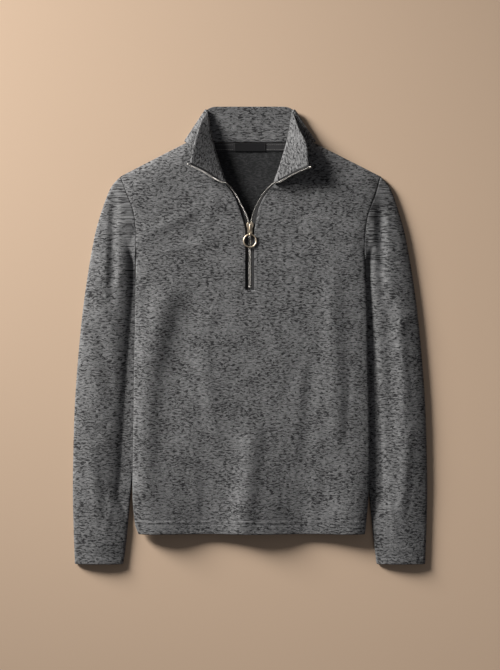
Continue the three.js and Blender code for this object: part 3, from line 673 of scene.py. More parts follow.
def front_bottom(x, y):
    half = np.abs(x)
    stacked = CLOTH + PANEL_GAP
    slope = (NECK_Y - SHOULDER_Y) / (SHOULDER_HALF - NECK_HALF)
    from_shoulder = (NECK_Y + slope * (NECK_HALF - half) - y) / math.hypot(slope, 1)
    from_side = body_edge(x, y) - half
    rim = side_lift(y) + stacked + armhole_rise(y)
    hem_fade = ease((HEM_WAVE_FADE - (y - HEM_Y)) / HEM_WAVE_FADE)
    wave = HEM_WAVE * np.cos(2 * np.pi * (x - HEM_WAVE_CREST) / HEM_WAVE_LENGTH) * hem_fade
    middle = stacked + BODY_HOLLOW + wave + fold_height(FRONT_FOLDS, x, y)
    across = mix(rim, middle, dome(from_side, SIDE_ROUNDING))
    height = mix(stacked, across, dome(from_shoulder, SHOULDER_ROUNDING))
    return np.maximum(height, back_top(x, y) + PANEL_GAP)


def front_top(x, y):
    return front_bottom(x, y) + CLOTH + HEM_EXTRA * hem_band(y) - stitch_dip(y)


front_down = rim_steps(
    FRONT_NECK_Y - HEM_Y,
    extra=[FRONT_NECK_Y - SLIT_END_Y] + [FRONT_NECK_Y - line for line in HEM_STITCH_LINES],
)
front_v = front_down / (FRONT_NECK_Y - HEM_Y)
front_u = rim_steps(FRONT_HALF) / FRONT_HALF
slit_rows = int(np.searchsorted(front_down, FRONT_NECK_Y - SLIT_END_Y))
halves = []
for sign in (-1, 1):
    edge = zip_edge_right if sign < 0 else zip_edge_left

    def front_neck(t):
        return np.column_stack([sign * neck_half(t), neck_level(t)])

    top = shoulder_line(sign, front_u, NECK_COLUMN, front_neck)
    y = mix(FRONT_NECK_Y, HEM_Y, front_v)
    centre = np.column_stack([sign * edge(y), y])
    halves.append(half_edges(sign, front_u, front_v, top, centre, SLIT_HALF))
strip = [
    mix(halves[0][:, -1], halves[1][:, -1], i / SLIT_STRIP)[:, None] for i in range(1, SLIT_STRIP)
]
front_plan = np.concatenate([halves[0], *strip, halves[1][:, ::-1]], axis=1)
columns = len(front_u)
outer_rim = rim_swell(front_u * FRONT_HALF)
outer_rim[columns // 2:] = 1
zip_rim = rim_swell(front_u * FRONT_HALF)
zip_rim[: columns // 2] = 1
rows_swell = rim_swell(front_down)
above_slit = (np.arange(len(front_down)) <= slit_rows)[:, None]
half_swell = outer_rim[None, :] * np.where(above_slit, zip_rim[None, :], 1)
strip_swell = np.where(np.arange(len(front_down)) == slit_rows, 0.4, 1.0)
strip_swell = np.repeat(strip_swell[:, None], SLIT_STRIP - 1, axis=1)
front_swell = np.concatenate([half_swell, strip_swell, half_swell[:, ::-1]], axis=1)
front_swell = np.minimum(front_swell, rows_swell[:, None])
front_outer, front_inner = panel_grid(front_plan, front_top, front_bottom, front_swell)
slit = np.zeros((len(front_down) - 1, front_plan.shape[1] - 1), bool)
slit[:slit_rows, columns - 1 : columns - 1 + SLIT_STRIP] = True
front = cloth_piece(
    "front_panel", front_outer, front_inner, front_plan + [900, 0], [outside, inside], opening=slit
)
ZIP_STITCH_OFF = 4.2
ZIP_STITCH_FOOT = 75.5
zip_border = []
for sign, edge in ((-1, zip_edge_right), (1, zip_edge_left)):
    y = np.arange(264, ZIP_STITCH_FOOT, -1.0)
    x = sign * (edge(y) + ZIP_STITCH_OFF)
    zip_border.append((x, y))
x = np.arange(-SLIT_HALF - ZIP_STITCH_OFF, SLIT_HALF + ZIP_STITCH_OFF + 0.5, 1.0)
zip_border.append((x, np.full(len(x), ZIP_STITCH_FOOT)))
zip_border = [
    (np.column_stack([x, y, front_top(x, y) + 0.12]), surface_up(front_top, x, y))
    for x, y in zip_border
]
hem_stitches = stitching("front_hem_stitches", hem_rows(front_top, 2, 1), grey_thread)
zip_stitches = stitching("zip_border_stitches", zip_border, grey_thread, 2.7, 2.1)
garment_cloth(
    front,
    "front",
)

# Sleeves. Each is a set-in tube of the same fleece, from the armhole seam down to a turned cuff.
# Its inner edge is pressed flat and tucked under the side of the body.
SLEEVE_FLAT = 5.6
SLEEVE_RISE = 9.5
CUFF_RISE = 7
CUFF_Y = -411.5
CUFF_DEPTH = 20
SLEEVE_EDGE_RADIUS = 4
PRESSED_WIDTH = 27
PRESSED_TOP_Y = 128
PRESSED_END_Y = -345
PRESS_RUN = 20
PRESS_FADE = 60
PARTING_Y = 105
PARTING_RUN = 45
SLEEVE_SIDES = 108
SEAM_GAP = 0.15
SLEEVE_OUTER = [
    (285, 234),
    (272, 246.5),
    (258, 254.5),
    (222, 267.3),
    (178, 279.5),
    (92, 294.3),
    (5, 305),
    (-124, 315),
    (-261, 318.6),
    (-340, 317.6),
    (-411.5, 315),
]
SLEEVE_INNER = [
    (150, 205.6),
    (105, 206.5),
    (60, 196),
    (-40, 193),
    (-160, 198),
    (-230, 207),
    (-273, 212.8),
    (-363, 221.5),
    (-411.5, 227.5),
]
SLEEVE_FOLDS = {
    "right": [
        (-245, 250, -248, 70, 13, -4.6),
        (-236, 184, -212, 166, 9, -2),
        (-272, 20, -250, -120, 20, -2),
        (-286, -200, -272, -330, 16, 2),
        (-262, 235, -272, 140, 10, 1.1),
        (-226, 120, -262, 60, 11, 1.1),
        (-285, 70, -240, 10, 12, 0.9),
        (-245, -150, -285, -190, 12, -0.9),
        (-240, -260, -262, -360, 11, 1.1),
    ],
    "left": [
        (234, 235, 236, 60, 15, -4.6),
        (247, 64, 251, -200, 24, -4.4),
        (268, 40, 280, -150, 15, 1.6),
        (284, -180, 270, -320, 16, 2),
        (262, 240, 276, 130, 11, 1.1),
        (224, 130, 262, 80, 11, 1.2),
        (288, 40, 246, -20, 13, 1),
        (244, -120, 280, -170, 13, -0.9),
        (246, -250, 262, -370, 12, 1),
    ],
}
[sleeve_outer] = columns_of(SLEEVE_OUTER)
[sleeve_inner] = columns_of(SLEEVE_INNER)
CUFF_STITCH = {"right": (-390, -395), "left": (-391, -396)}


def sleeve_cloth(side, sign):
    edge = edge_right if sign < 0 else edge_left
    run = SHOULDER_Y - CUFF_Y
    stitch_down = [SHOULDER_Y - line for line in CUFF_STITCH[side]]
    v = rim_steps(run, extra=stitch_down) / run
    w = np.linspace(0, 1, 241)
    armhole_y = mix(SHOULDER_Y, ARMPIT_Y, w)
    armhole = np.column_stack([sign * (edge(armhole_y) + SEAM_GAP), armhole_y])
    cuff_half = mix(sleeve_outer(CUFF_Y), sleeve_inner(CUFF_Y), w)
    cuff = np.column_stack([sign * cuff_half, np.full(len(w), CUFF_Y)])
    outer_y = mix(SHOULDER_Y, CUFF_Y, v)
    start = edge(SHOULDER_Y) + SEAM_GAP - SHOULDER_HALF
    outer = np.column_stack([sign * (sleeve_outer(outer_y) + start * (1 - ease(v * 8))), outer_y])
    inner_y = mix(ARMPIT_Y, CUFF_Y, v)
    free = sleeve_inner(inner_y) + edge(ARMPIT_Y) + SEAM_GAP - SLEEVE_INNER[0][1]
    beside = edge(inner_y) + SEAM_GAP
    parting = ease((PARTING_Y - inner_y) / PARTING_RUN)
    inner_half = mix(np.maximum(free, beside), sleeve_inner(inner_y), parting)
    inner = np.column_stack([sign * inner_half, inner_y])
    sheet = coons(armhole, cuff, outer, inner, w, v)
    width = np.linalg.norm(sheet[:, 0] - sheet[:, -1], axis=1)[:, None]
    under = np.maximum(edge(inner_y) - inner_half, 0)
    below_press = ease((PRESSED_TOP_Y - inner_y) / PRESS_RUN)
    pressed = PRESSED_WIDTH * below_press * ease((inner_y - PRESSED_END_Y) / PRESS_FADE)
    tucked = (under * below_press + pressed)[:, None] / width
    crown = mix(ARMHOLE_RISE, SLEEVE_RISE, ease(v * 5))
    rise = mix(crown, CUFF_RISE, ease((v - 0.6) / 0.4))[:, None]
    cuff_share = ease((v * run - (run - CUFF_DEPTH)) / 3)[:, None]

    turn = np.arange(SLEEVE_SIDES) / SLEEVE_SIDES
    plain = (1 - np.cos(2 * np.pi * turn))[None, :] / 2
    upper = (turn <= 0.5)[None, :]
    level_of_row = outer_y[:, None]
    dip = sum(
        0.45 * np.exp(-(((level_of_row - line) / 1.3) ** 2)) for line in CUFF_STITCH[side]
    )

    def ring(thickness):
        share = mix(thickness / width, 1 - thickness / width, plain)
        where = share * (len(w) - 1)
        low = np.clip(where.astype(int), 0, len(w) - 2)
        part = (where - low)[..., None]
        rows = np.arange(len(v))[:, None]
        point = mix(sheet[rows, low], sheet[rows, low + 1], part)
        lift = side_lift(mix(SHOULDER_Y, ARMPIT_Y, share)) * (1 - ease(v * 560 / 45))[:, None]
        across = np.clip(share / (1 - tucked), 0, 1)
        arch = np.sin(np.pi * across)
        folds = fold_height(SLEEVE_FOLDS[side], point[..., 0], point[..., 1]) * arch
        top = lift + SLEEVE_FLAT + rise * arch**0.7 + folds
        edge_level = lift + SLEEVE_FLAT / 2
        rounding = dome(np.minimum(plain, 1 - plain) * width, SLEEVE_EDGE_RADIUS)
        reach = np.where(upper, top - thickness - edge_level, lift + thickness - edge_level)
        return np.dstack([point, edge_level + reach * rounding])

    thickness = CLOTH + HEM_EXTRA * cuff_share
    swell = rim_swell(v * run)[:, None, None]
    full_outer = ring(thickness * 0)
    full_inner = ring(thickness)
    middle = (full_outer + full_inner) / 2
    outer_points = middle + (full_outer - middle) * swell
    inner_points = middle + (full_inner - middle) * swell
    flatness = ease(np.minimum(plain, 1 - plain) * width / 6)
    outer_points[..., 2] -= np.where(upper, dip, 0) * flatness
    from_outer = np.abs(outer_points[:, :1, 0]) - np.abs(outer_points[..., 0])
    around = np.where(upper, from_outer, -from_outer)
    flat = np.dstack([around + (2000 if sign < 0 else 3000), outer_points[..., 1]])
    stitched = []
    for line in stitch_down:
        row = int(np.argmin(np.abs(v * run - line)))
        loop = np.append(outer_points[row], outer_points[row][:1], axis=0)
        within = np.append(inner_points[row], inner_points[row][:1], axis=0)
        out = unit(loop - within)
        stitched.append((loop + out * 0.1, out))
    return outer_points, inner_points, flat, stitched


for side, sign in (("right", -1), ("left", 1)):
    outer_points, inner_points, flat, stitched = sleeve_cloth(side, sign)
    piece = cloth_piece(
        f"sleeve_cloth_{side}", outer_points, inner_points, flat, [outside, inside], wraps=True
    )
    cuff_stitches = stitching(f"cuff_stitches_{side}", stitched, grey_thread)
    garment_cloth(piece, f"sleeve_{side}")

# Collar. A stand of self fabric, cut double and folded at its top edge, from zip to zip. Its back
# lies flat, each side folds over at the neck, and each front half rolls open along a slant.
COLLAR_CLOTH = 4.0
COLLAR_HEIGHT = 74
COLLAR_TOP_Y = 410.6
COLLAR_BOW = 4
ROLL_RADIUS = 2.8
CORNER_HEIGHT = 10
BACK_COLLAR_RISE = 2.8
COLLAR_FLARE = {-1: 14, 1: 18}
# From the neck point (0) to the zip (1): half-width and level of the free edge and of the roll
COLLAR_EDGE = {
    -1: [(0, 76.5, 403.5), (0.3, 88.5, 378.5), (0.62, 98.5, 346), (1, 107, 306)],
    1: [(0, 76.5, 403.5), (0.3, 86.5, 372), (0.62, 101, 339), (1, 104.5, 301)],
}
COLLAR_ROLL = [(0, 76.5, 403.5), (0.35, 70.5, 360), (0.7, 57, 311), (1, 43, 270.4)]
collar_edge = {sign: columns_of(rows) for sign, rows in COLLAR_EDGE.items()}
roll_half, roll_level = columns_of(COLLAR_ROLL)


def neck_height(x, y):
    return front_top(x, y) + 0.6 + COLLAR_CLOTH / 2


def collar_front(sign, at):
    """Points up the collar, t from its seam (0) to its free edge (1), for its front half."""
    base = np.array([sign * neck_half(at), neck_level(at), 0.0])
    base[2] = neck_height(base[0], base[1])
    edge_x, edge_y = (curve(at) for curve in collar_edge[sign])
    roll = np.array([sign * roll_half(at), roll_level(at), 0.0])
    free = np.array([sign * edge_x, edge_y, 0.0])
    radius = ROLL_RADIUS * ease(at / 0.25)
    tight = max(radius, 1e-6)
    crest = mix(CORNER_HEIGHT, neck_height(sign * 43, FRONT_NECK_Y), at)
    crest += 2.2 * ease(at / 0.25) * (1 - at)
    free_z = crest + radius + COLLAR_FLARE[sign] * ease(at / 0.7)
    stand = (1 - at) * COLLAR_HEIGHT
    flap = at * COLLAR_HEIGHT

    def reach(length):
        bend = radius * np.pi / 2
        rolled = radius * (1 - np.cos(np.minimum(length / tight, np.pi / 2)))
        return np.where(length > bend, radius + length - bend, rolled)

    def level(length):
        return crest + radius * np.sin(np.clip(length / tight, -np.pi / 2, np.pi / 2))

    def points(t):
        length = t * COLLAR_HEIGHT - stand
        low = (length < 0)[:, None]
        whole = np.where(length < 0, stand, flap)
        safe = np.maximum(whole, 1e-9)
        part = np.abs(length) / safe
        gone = reach(np.abs(length)) / np.maximum(reach(whole), 1e-9)
        end = np.where(low, base, free)
        found = mix(roll, end, gone[:, None])
        end_z = np.where(length < 0, base[2], free_z)
        found[:, 2] = level(length) + (end_z - level(np.sign(length) * whole)) * part
        bow = np.where(length > 0, COLLAR_BOW * at**4 * np.sin(np.pi * part), 0)
        found[:, 0] += sign * bow * 0.45
        found[:, 1] += bow * 0.9
        return found

    return points


def collar_fold(sign, turn):
    """The fold at the side of the neck, from the front half (turn 1) to the back (turn -1)."""
    ends = collar_front(sign, 0)(np.array([0.0, 1.0]))
    back_level = [COLLAR_CLOTH / 2, COLLAR_CLOTH / 2 + BACK_COLLAR_RISE]
    rise = ends[1] - ends[0]
    outward = unit(np.array([sign * rise[1], abs(rise[0]), 0.0]))
    moved = []
    for point, low in zip(ends, back_level):
        radius = (point[2] - low) / 2
        angle = turn * np.pi / 2
        place_now = point + outward * radius * np.cos(angle)
        place_now[2] = low + radius * (1 + np.sin(angle))
        moved.append(place_now)
    return lambda t: mix(moved[0], moved[1], t[:, None])


def collar_back(across):
    seam = np.array([mix(-NECK_HALF, NECK_HALF, across), NECK_Y + 0.45, COLLAR_CLOTH / 2])
    corner_half, corner_y = COLLAR_ROLL[0][1:]
    top_x = mix(-corner_half, corner_half, across)
    top_y = mix(corner_y, COLLAR_TOP_Y, dome(min(across, 1 - across), 0.12))
    top = np.array([top_x, top_y, COLLAR_CLOTH / 2 + BACK_COLLAR_RISE])
    return lambda t: mix(seam, top, t[:, None])


front_steps = np.concatenate([np.linspace(0, 0.3, 24)[:-1], np.linspace(0.3, 1, 42)])
front_steps = np.sort(np.append(front_steps, [0.988, 0.996]))
turns = np.cos(np.linspace(0, np.pi, 16))[1:-1]
backs = 0.5 - 0.5 * np.cos(np.linspace(0, np.pi, 60))
collar_lines = [(collar_front(-1, at), 1 - at) for at in front_steps[::-1]]
collar_lines += [(collar_fold(-1, turn), 1.0) for turn in turns]
collar_lines += [(collar_back(across), 1.0) for across in backs]
collar_lines += [(collar_fold(1, turn), 1.0) for turn in turns[::-1]]
collar_lines += [(collar_front(1, at), 1 - at) for at in front_steps]
collar_steps = np.concatenate([[0, 0.006, 0.018], np.linspace(0.04, 0.96, 40), [0.982, 0.994, 1]])


def collar_share(step, roll):
    """Rows gather at the roll, which climbs from the zip to the neck point."""
    split = min(max(roll, 0.12), 0.88)
    low = split * (1 - (1 - np.minimum(step * 2, 1)) ** 1.5)
    high = split + (1 - split) * np.maximum(step * 2 - 1, 0) ** 1.5
    return np.where(step < 0.5, low, high)


collar_middle = np.stack(
    [points(collar_share(collar_steps, roll)) for points, roll in collar_lines], axis=1
)


def surface_normals(grid):
    down = np.empty_like(grid)
    down[1:-1] = grid[2:] - grid[:-2]
    down[0] = grid[1] - grid[0]
    down[-1] = grid[-1] - grid[-2]
    across = np.empty_like(grid)
    across[:, 1:-1] = grid[:, 2:] - grid[:, :-2]
    across[:, 0] = grid[:, 1] - grid[:, 0]
    across[:, -1] = grid[:, -1] - grid[:, -2]
    normal = np.cross(down, across)
    return normal / np.maximum(np.linalg.norm(normal, axis=2), 1e-9)[..., None]


def arc_lengths(grid, axis):
    steps = np.linalg.norm(np.diff(grid, axis=axis), axis=2)
    zero = np.zeros_like(steps[:1] if axis == 0 else steps[:, :1])
    return np.concatenate([zero, np.cumsum(steps, axis=axis)], axis=axis)


collar_normal = surface_normals(collar_middle)
collar_up = arc_lengths(collar_middle, 0)
collar_along = arc_lengths(collar_middle, 1)
collar_middle_row = collar_along[len(collar_steps) // 2]
free_rounding = 0.3 + 0.7 * dome(collar_up[-1] - collar_up, 2.2)
seam_rounding = 0.45 + 0.55 * dome(collar_up, 2.2)
end_off = np.minimum(collar_along, collar_along[:, -1:] - collar_along)
end_rounding = 0.35 + 0.65 * dome(end_off, 1.8)
collar_half = COLLAR_CLOTH / 2 * np.minimum(free_rounding, np.minimum(seam_rounding, end_rounding))
collar_flat = np.dstack([np.repeat(collar_middle_row[None], len(collar_steps), axis=0), collar_up])
collar = cloth_piece(
    "collar_stand",
    collar_middle + collar_normal * collar_half[..., None],
    collar_middle - collar_normal * collar_half[..., None],
    collar_flat + [5000, 0],
    [outside, outside],
)
garment_cloth(collar, "collar")

# Neck tape and label. A woven tape covers the seam between the back and the collar, held by two
# rows of stitches, and a black satin label with nothing on it is sewn over its middle.
TAPE_HALF = 98
NECK_TAPE_DEPTH = 15.2
NECK_TAPE_LEVEL = 0.3
NECK_TAPE_THICK = 0.8
LABEL_HALF = 28.4
LABEL_THICK = 0.5
TAPE_TOP_Y = NECK_Y - 0.3

# Woven ribs, a group used in the tapes and the label
weave = new_group(
    "woven_ribs",
    ("Place", "Vector", "INPUT"),
    ("Rib Size", "Float", "INPUT"),
    ("Slant", "Float", "INPUT"),
    ("Dark", "Color", "INPUT"),
    ("Light", "Color", "INPUT"),
    ("Color", "Color", "OUTPUT"),
    ("Height", "Float", "OUTPUT"),
)
given = place(weave, "NodeGroupInput")
parts = place(weave, "ShaderNodeSeparateXYZ", {0: given.outputs["Place"]})
slanted = calculate(weave, "MULTIPLY", parts.outputs["Y"], given.outputs["Slant"])
across = calculate(weave, "ADD", parts.outputs["X"], slanted)
turn = calculate(weave, "DIVIDE", across, given.outputs["Rib Size"])
rib = calculate(weave, "SINE", calculate(weave, "MULTIPLY", turn, 2 * math.pi))
cross_turn = calculate(weave, "DIVIDE", parts.outputs["Y"], given.outputs["Rib Size"])
cross = calculate(weave, "SINE", calculate(weave, "MULTIPLY", cross_turn, 1.3 * math.pi))
both = calculate(weave, "MULTIPLY_ADD", cross, 0.35, rib)
lint = place(
    weave,
    "ShaderNodeTexNoise",
    {"Vector": given.outputs["Place"], "Scale": 0.6, "Detail": 4},
)
both = calculate(weave, "MULTIPLY_ADD", lint.outputs["Fac"], 1.2, both)
share = place(weave, "ShaderNodeMapRange", {"Value": both, "From Min": -0.8, "From Max": 2.1})
shade = place(weave, "ShaderNodeMix", {0: share.outputs["Result"]}, data_type="RGBA")
weave.links.new(given.outputs["Dark"], shade.inputs[6])
weave.links.new(given.outputs["Light"], shade.inputs[7])
result = place(weave, "NodeGroupOutput")
weave.links.new(shade.outputs[2], result.inputs["Color"])
weave.links.new(share.outputs["Result"], result.inputs["Height"])


def woven(name, dark, light, rib_size, slant, bump, **sockets):
    material, tree, shader = new_material(name, **sockets)
    spot = place(tree, "ShaderNodeAttribute", attribute_name="cloth")
    ribs = place(tree, "ShaderNodeGroup", node_tree=weave)
    ribs.inputs["Rib Size"].default_value = rib_size
    ribs.inputs["Slant"].default_value = slant
    ribs.inputs["Dark"].default_value = dark
    ribs.inputs["Light"].default_value = light
    tree.links.new(spot.outputs["Vector"], ribs.inputs["Place"])
    relief = place(
        tree,
        "ShaderNodeBump",
        {"Height": ribs.outputs["Height"], "Strength": bump, "Distance": 0.0002},
    )
    tree.links.new(ribs.outputs["Color"], shader.inputs["Base Color"])
    tree.links.new(relief.outputs["Normal"], shader.inputs["Normal"])
    return material


def trim_band(name, half, top_y, depth, level, thick, material, node):
    """A flat woven band on the inside of the back."""
    x = mix(-half, half, rim_steps(2 * half, 3) / (2 * half))
    y = top_y - rim_steps(depth, 2.4)
    plan = np.dstack(np.meshgrid(x, y))
    swell = np.minimum(
        rim_swell(y[::-1], 0.8)[:, None] * np.ones(len(x)), rim_swell(x, 0.8)[None, :]
    )
    low = back_top(plan[..., 0], plan[..., 1]) + level
    middle = low + thick / 2
    outer = np.dstack([plan, middle + thick / 2 * swell])
    inner = np.dstack([plan, middle - thick / 2 * swell])
    band = cloth_piece(name, outer, inner, plan, [material, material])
    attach(band, "garment")
    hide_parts(node)
    return band


def band_row(y, x_from, x_to, level):
    x = np.arange(x_from, x_to, 1.0)
    y = np.full(len(x), float(y))
    return np.column_stack([x, y, back_top(x, y) + level]), surface_up(back_top, x, y)


black_twill = woven(
    "black_twill", (0.008, 0.008, 0.009, 1), (0.03, 0.03, 0.033, 1), 1.1, 0.8, 0.8, Roughness=0.8
)
neck_tape = trim_band(
    "neck_tape_band",
    TAPE_HALF,
    TAPE_TOP_Y,
    NECK_TAPE_DEPTH,
    NECK_TAPE_LEVEL,
    NECK_TAPE_THICK,
    black_twill,
    "neck_tape",
)
pale_thread = spun_thread("pale_thread", (0.2, 0.195, 0.19))
tape_top = NECK_TAPE_LEVEL + NECK_TAPE_THICK + 0.1
tape_rows = [
    band_row(y, start, end, tape_top)
    for y in (TAPE_TOP_Y - 3.4, TAPE_TOP_Y - NECK_TAPE_DEPTH + 3.4)
    for start, end in ((-TAPE_HALF + 2, -LABEL_HALF - 1), (LABEL_HALF + 1, TAPE_HALF - 2))
]
tape_stitches = stitching("neck_tape_stitches", tape_rows, pale_thread)
satin = woven(
    "black_satin",
    (0.004, 0.004, 0.0045, 1),
    (0.012, 0.012, 0.013, 1),
    0.45,
    0,
    0.35,
    Roughness=0.32,
    Specular_IOR_Level=0.6,
)
label_level = NECK_TAPE_LEVEL + NECK_TAPE_THICK + 0.3
label = trim_band(
    "blank_label",
    LABEL_HALF,
    TAPE_TOP_Y,
    NECK_TAPE_DEPTH,
    label_level,
    LABEL_THICK,
    satin,
    "neck_label",
)
black_thread = spun_thread("black_thread", (0.02, 0.02, 0.021))
label_rows = []
for x_end in (-LABEL_HALF + 1.6, LABEL_HALF - 1.6):
    y = np.arange(TAPE_TOP_Y - 1, TAPE_TOP_Y - NECK_TAPE_DEPTH + 1, -1.0)
    x = np.full(len(y), x_end)
    z = back_top(x, y) + label_level + LABEL_THICK + 0.05
    label_rows.append((np.column_stack([x, y, z]), surface_up(back_top, x, y)))
label_stitches = stitching("label_stitches", label_rows, black_thread, 2.2, 1.6)

# Zip. Black woven tape sewn behind the edges of the slit, with metal teeth clamped on its edges.
# Above the slider the two sides part, turn over at the neck seam and lie on the open collar.
ZIP_TAPE = 0.8
TAPE_HOLD = 6
TAPE_GAP = 0.5
TEETH_WIDTH = 2.4
TEETH_THICK = 2.2
TEETH_GAP = 0.3
TOOTH_PITCH = 2.3
TOOTH_LENGTH = 1.1
TOOTH_REACH = 0.55
ZIP_FOOT_Y = 88.6
TAPE_FOOT_Y = 77
TAPE_JOIN_Y = 84.2
TURN_START_Y = 252
COLLAR_HOLD = 1.2
ZIP_LEVELS = [TAPE_FOOT_Y, ZIP_FOOT_Y, 105, 125, 145, 165, 176, 184, 190, 196]
ZIP_LEVELS += [203, 210, 217, 224, 232, 240, 247]
# Level or share up the collar, and how far the tape has turned over there
ZIP_TURNS = [(254, 0.04), (260, 0.16), (266, 0.34)]
COLLAR_TURNS = [(0.02, 0.5), (0.09, 0.68), (0.17, 0.86), (0.25, 0.97), (0.32, 1)]


def zip_course(sign):
    """Curves along one side of the zip: edge of the cloth, way to the teeth, width and turn."""
    edge_of, teeth_of = (
        (zip_edge_right, teeth_right) if sign < 0 else (zip_edge_left, teeth_left)
    )
    rows = []
    for y in ZIP_LEVELS:
        x = float(edge_of(y))
        z = float(front_bottom(np.array(sign * x), np.array(float(y)))) - TAPE_GAP - ZIP_TAPE / 2
        slope = float(edge_of(y + 2) - edge_of(y - 2)) / 4
        inward = unit(np.array([-sign, slope, 0.0]))
        width = (x - float(teeth_of(y))) / math.hypot(1, slope)
        rows.append([sign * x, y, z, *inward, width, 0, TAPE_HOLD if y < TURN_START_Y - 8 else -0.5])
    line = collar_front(sign, 1)
    above = COLLAR_CLOTH / 2 + 0.3 + ZIP_TAPE / 2
    top = line(np.array([0.0]))[0, 2] + above
    low_point = np.array(sign * 35.0), np.array(float(TURN_START_Y))
    low = float(front_bottom(*low_point)) - TAPE_GAP - ZIP_TAPE / 2
    for y, turn in ZIP_TURNS:
        run = unit(np.array([sign * float(edge_of(y + 2) - edge_of(y - 2)), 4.0, 0.0]))
        inward = [-run[1] * sign, run[0] * sign, 0]
        z = mix(low, top, float(ease(turn * 2)))
        rows.append([sign * float(edge_of(y)), y, z, *inward, 3.6, turn, -0.5])
    flat_turns = [(share, 1) for share in np.linspace(0.32, 1, 10)[1:]]
    for share, turn in COLLAR_TURNS + flat_turns:
        near = line(np.array([share - 0.02, share, share + 0.02]))
        run = near[2] - near[0]
        run[2] = 0
        run = unit(run)
        z = max(near[1, 2] + above, mix(top, near[1, 2] + above, share))
        hold = COLLAR_HOLD if share > 0.33 else -0.5
        inward = [-run[1] * sign, run[0] * sign, 0]
        rows.append([near[1, 0], near[1, 1], z, *inward, 3.6, turn, hold])
    rows = np.array(rows, float)
    run = np.concatenate([[0], np.cumsum(np.linalg.norm(np.diff(rows[:, :3], axis=0), axis=1))])
    return run[-1], [along(run, rows[:, i]) for i in range(rows.shape[1])]


def zip_points(course, at, distance):
    """Points a distance from the cloth's edge towards the teeth, and the way across there."""
    x, y, z, in_x, in_y, in_z, _, turn, _ = (curve(at) for curve in course)
    inward = unit(np.column_stack([in_x, in_y, in_z]))
    flat = np.cos(np.pi * turn)
    high = np.sin(np.pi * turn)
    points = np.column_stack([x, y, z]) + inward * (distance * flat + 0.7 * high)[:, None]
    points[:, 2] += distance * high
    way = inward * flat[:, None]
    way[:, 2] += high
    return points, unit(way)


zip_tape_cloth = woven(
    "zip_tape_weave",
    (0.006, 0.006, 0.007, 1),
    (0.032, 0.032, 0.035, 1),
    1.3,
    0.9,
    0.9,
    Roughness=0.75,
    Sheen_Weight=0.1,
)

# Marks of wear and brushing, a group used in every metal part
brushed = new_group(
    "worn_metal",
    ("Metal", "Color", "INPUT"),
    ("Tarnish", "Color", "INPUT"),
    ("Roughness", "Float", "INPUT"),
    ("Color", "Color", "OUTPUT"),
    ("Rough", "Float", "OUTPUT"),
    ("Height", "Float", "OUTPUT"),
)
given = place(brushed, "NodeGroupInput")
spot = place(brushed, "ShaderNodeTexCoord")
cloud = place(
    brushed, "ShaderNodeTexNoise", {"Vector": spot.outputs["Object"], "Scale": 260, "Detail": 4}
)
grain = place(
    brushed, "ShaderNodeTexNoise", {"Vector": spot.outputs["Object"], "Scale": 1900, "Detail": 3}
)
shade = place(brushed, "ShaderNodeMix", {0: cloud.outputs["Fac"]}, data_type="RGBA")
brushed.links.new(given.outputs["Metal"], shade.inputs[6])
brushed.links.new(given.outputs["Tarnish"], shade.inputs[7])
rough = calculate(brushed, "MULTIPLY_ADD", grain.outputs["Fac"], 0.14, given.outputs["Roughness"])
result = place(brushed, "NodeGroupOutput")
brushed.links.new(shade.outputs[2], result.inputs["Color"])
brushed.links.new(rough, result.inputs["Rough"])
brushed.links.new(grain.outputs["Fac"], result.inputs["Height"])


def metal(name, color, tarnish, roughness):
    material, tree, shader = new_material(name, Metallic=1.0)
    worn = place(tree, "ShaderNodeGroup", node_tree=brushed)
    worn.inputs["Metal"].default_value = color
    worn.inputs["Tarnish"].default_value = tarnish
    worn.inputs["Roughness"].default_value = roughness
    relief = place(
        tree,
        "ShaderNodeBump",
        {"Height": worn.outputs["Height"], "Strength": 0.15, "Distance": 0.00005},
    )
    tree.links.new(worn.outputs["Color"], shader.inputs["Base Color"])
    tree.links.new(worn.outputs["Rough"], shader.inputs["Roughness"])
    tree.links.new(relief.outputs["Normal"], shader.inputs["Normal"])
    return material


teeth_metal = metal("teeth_metal", (0.72, 0.7, 0.67, 1), (0.5, 0.48, 0.45, 1), 0.38)
pale_gold = metal("pale_gold", (0.86, 0.74, 0.58, 1), (0.72, 0.6, 0.45, 1), 0.34)

OCTAGON = np.array([
    (1, 0.45), (0.5, 1), (-0.5, 1), (-1, 0.45), (-1, -0.45), (-0.5, -1), (0.5, -1), (1, -0.45)
])
BLOCK_LEVELS = [(-1, 0.72), (-0.62, 1), (0.62, 1), (1, 0.72)]


def small_blocks(centres, ways, lengths, ups, size):
    """Blocks with softened corners, size = (across, along, thick), as points and faces."""
    points, faces = [], []
    for centre, way, run, up in zip(centres, ways, lengths, ups):
        first = len(points)
        for level, share in BLOCK_LEVELS:
            for a, b in OCTAGON * share:
                offset = way * a * size[0] / 2 + run * b * size[1] / 2
                points.append(centre + offset + up * level * size[2] / 2)
        for r in range(3):
            for i in range(8):
                j = (i + 1) % 8
                low = first + 8 * r
                faces.append((low + i, low + j, low + 8 + j, low + 8 + i))
        faces.append(tuple(first + i for i in reversed(range(8))))
        faces.append(tuple(first + 24 + i for i in range(8)))
    return points, faces


def fix_to_garment(piece, node):
    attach(piece, "garment")
    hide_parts(node)


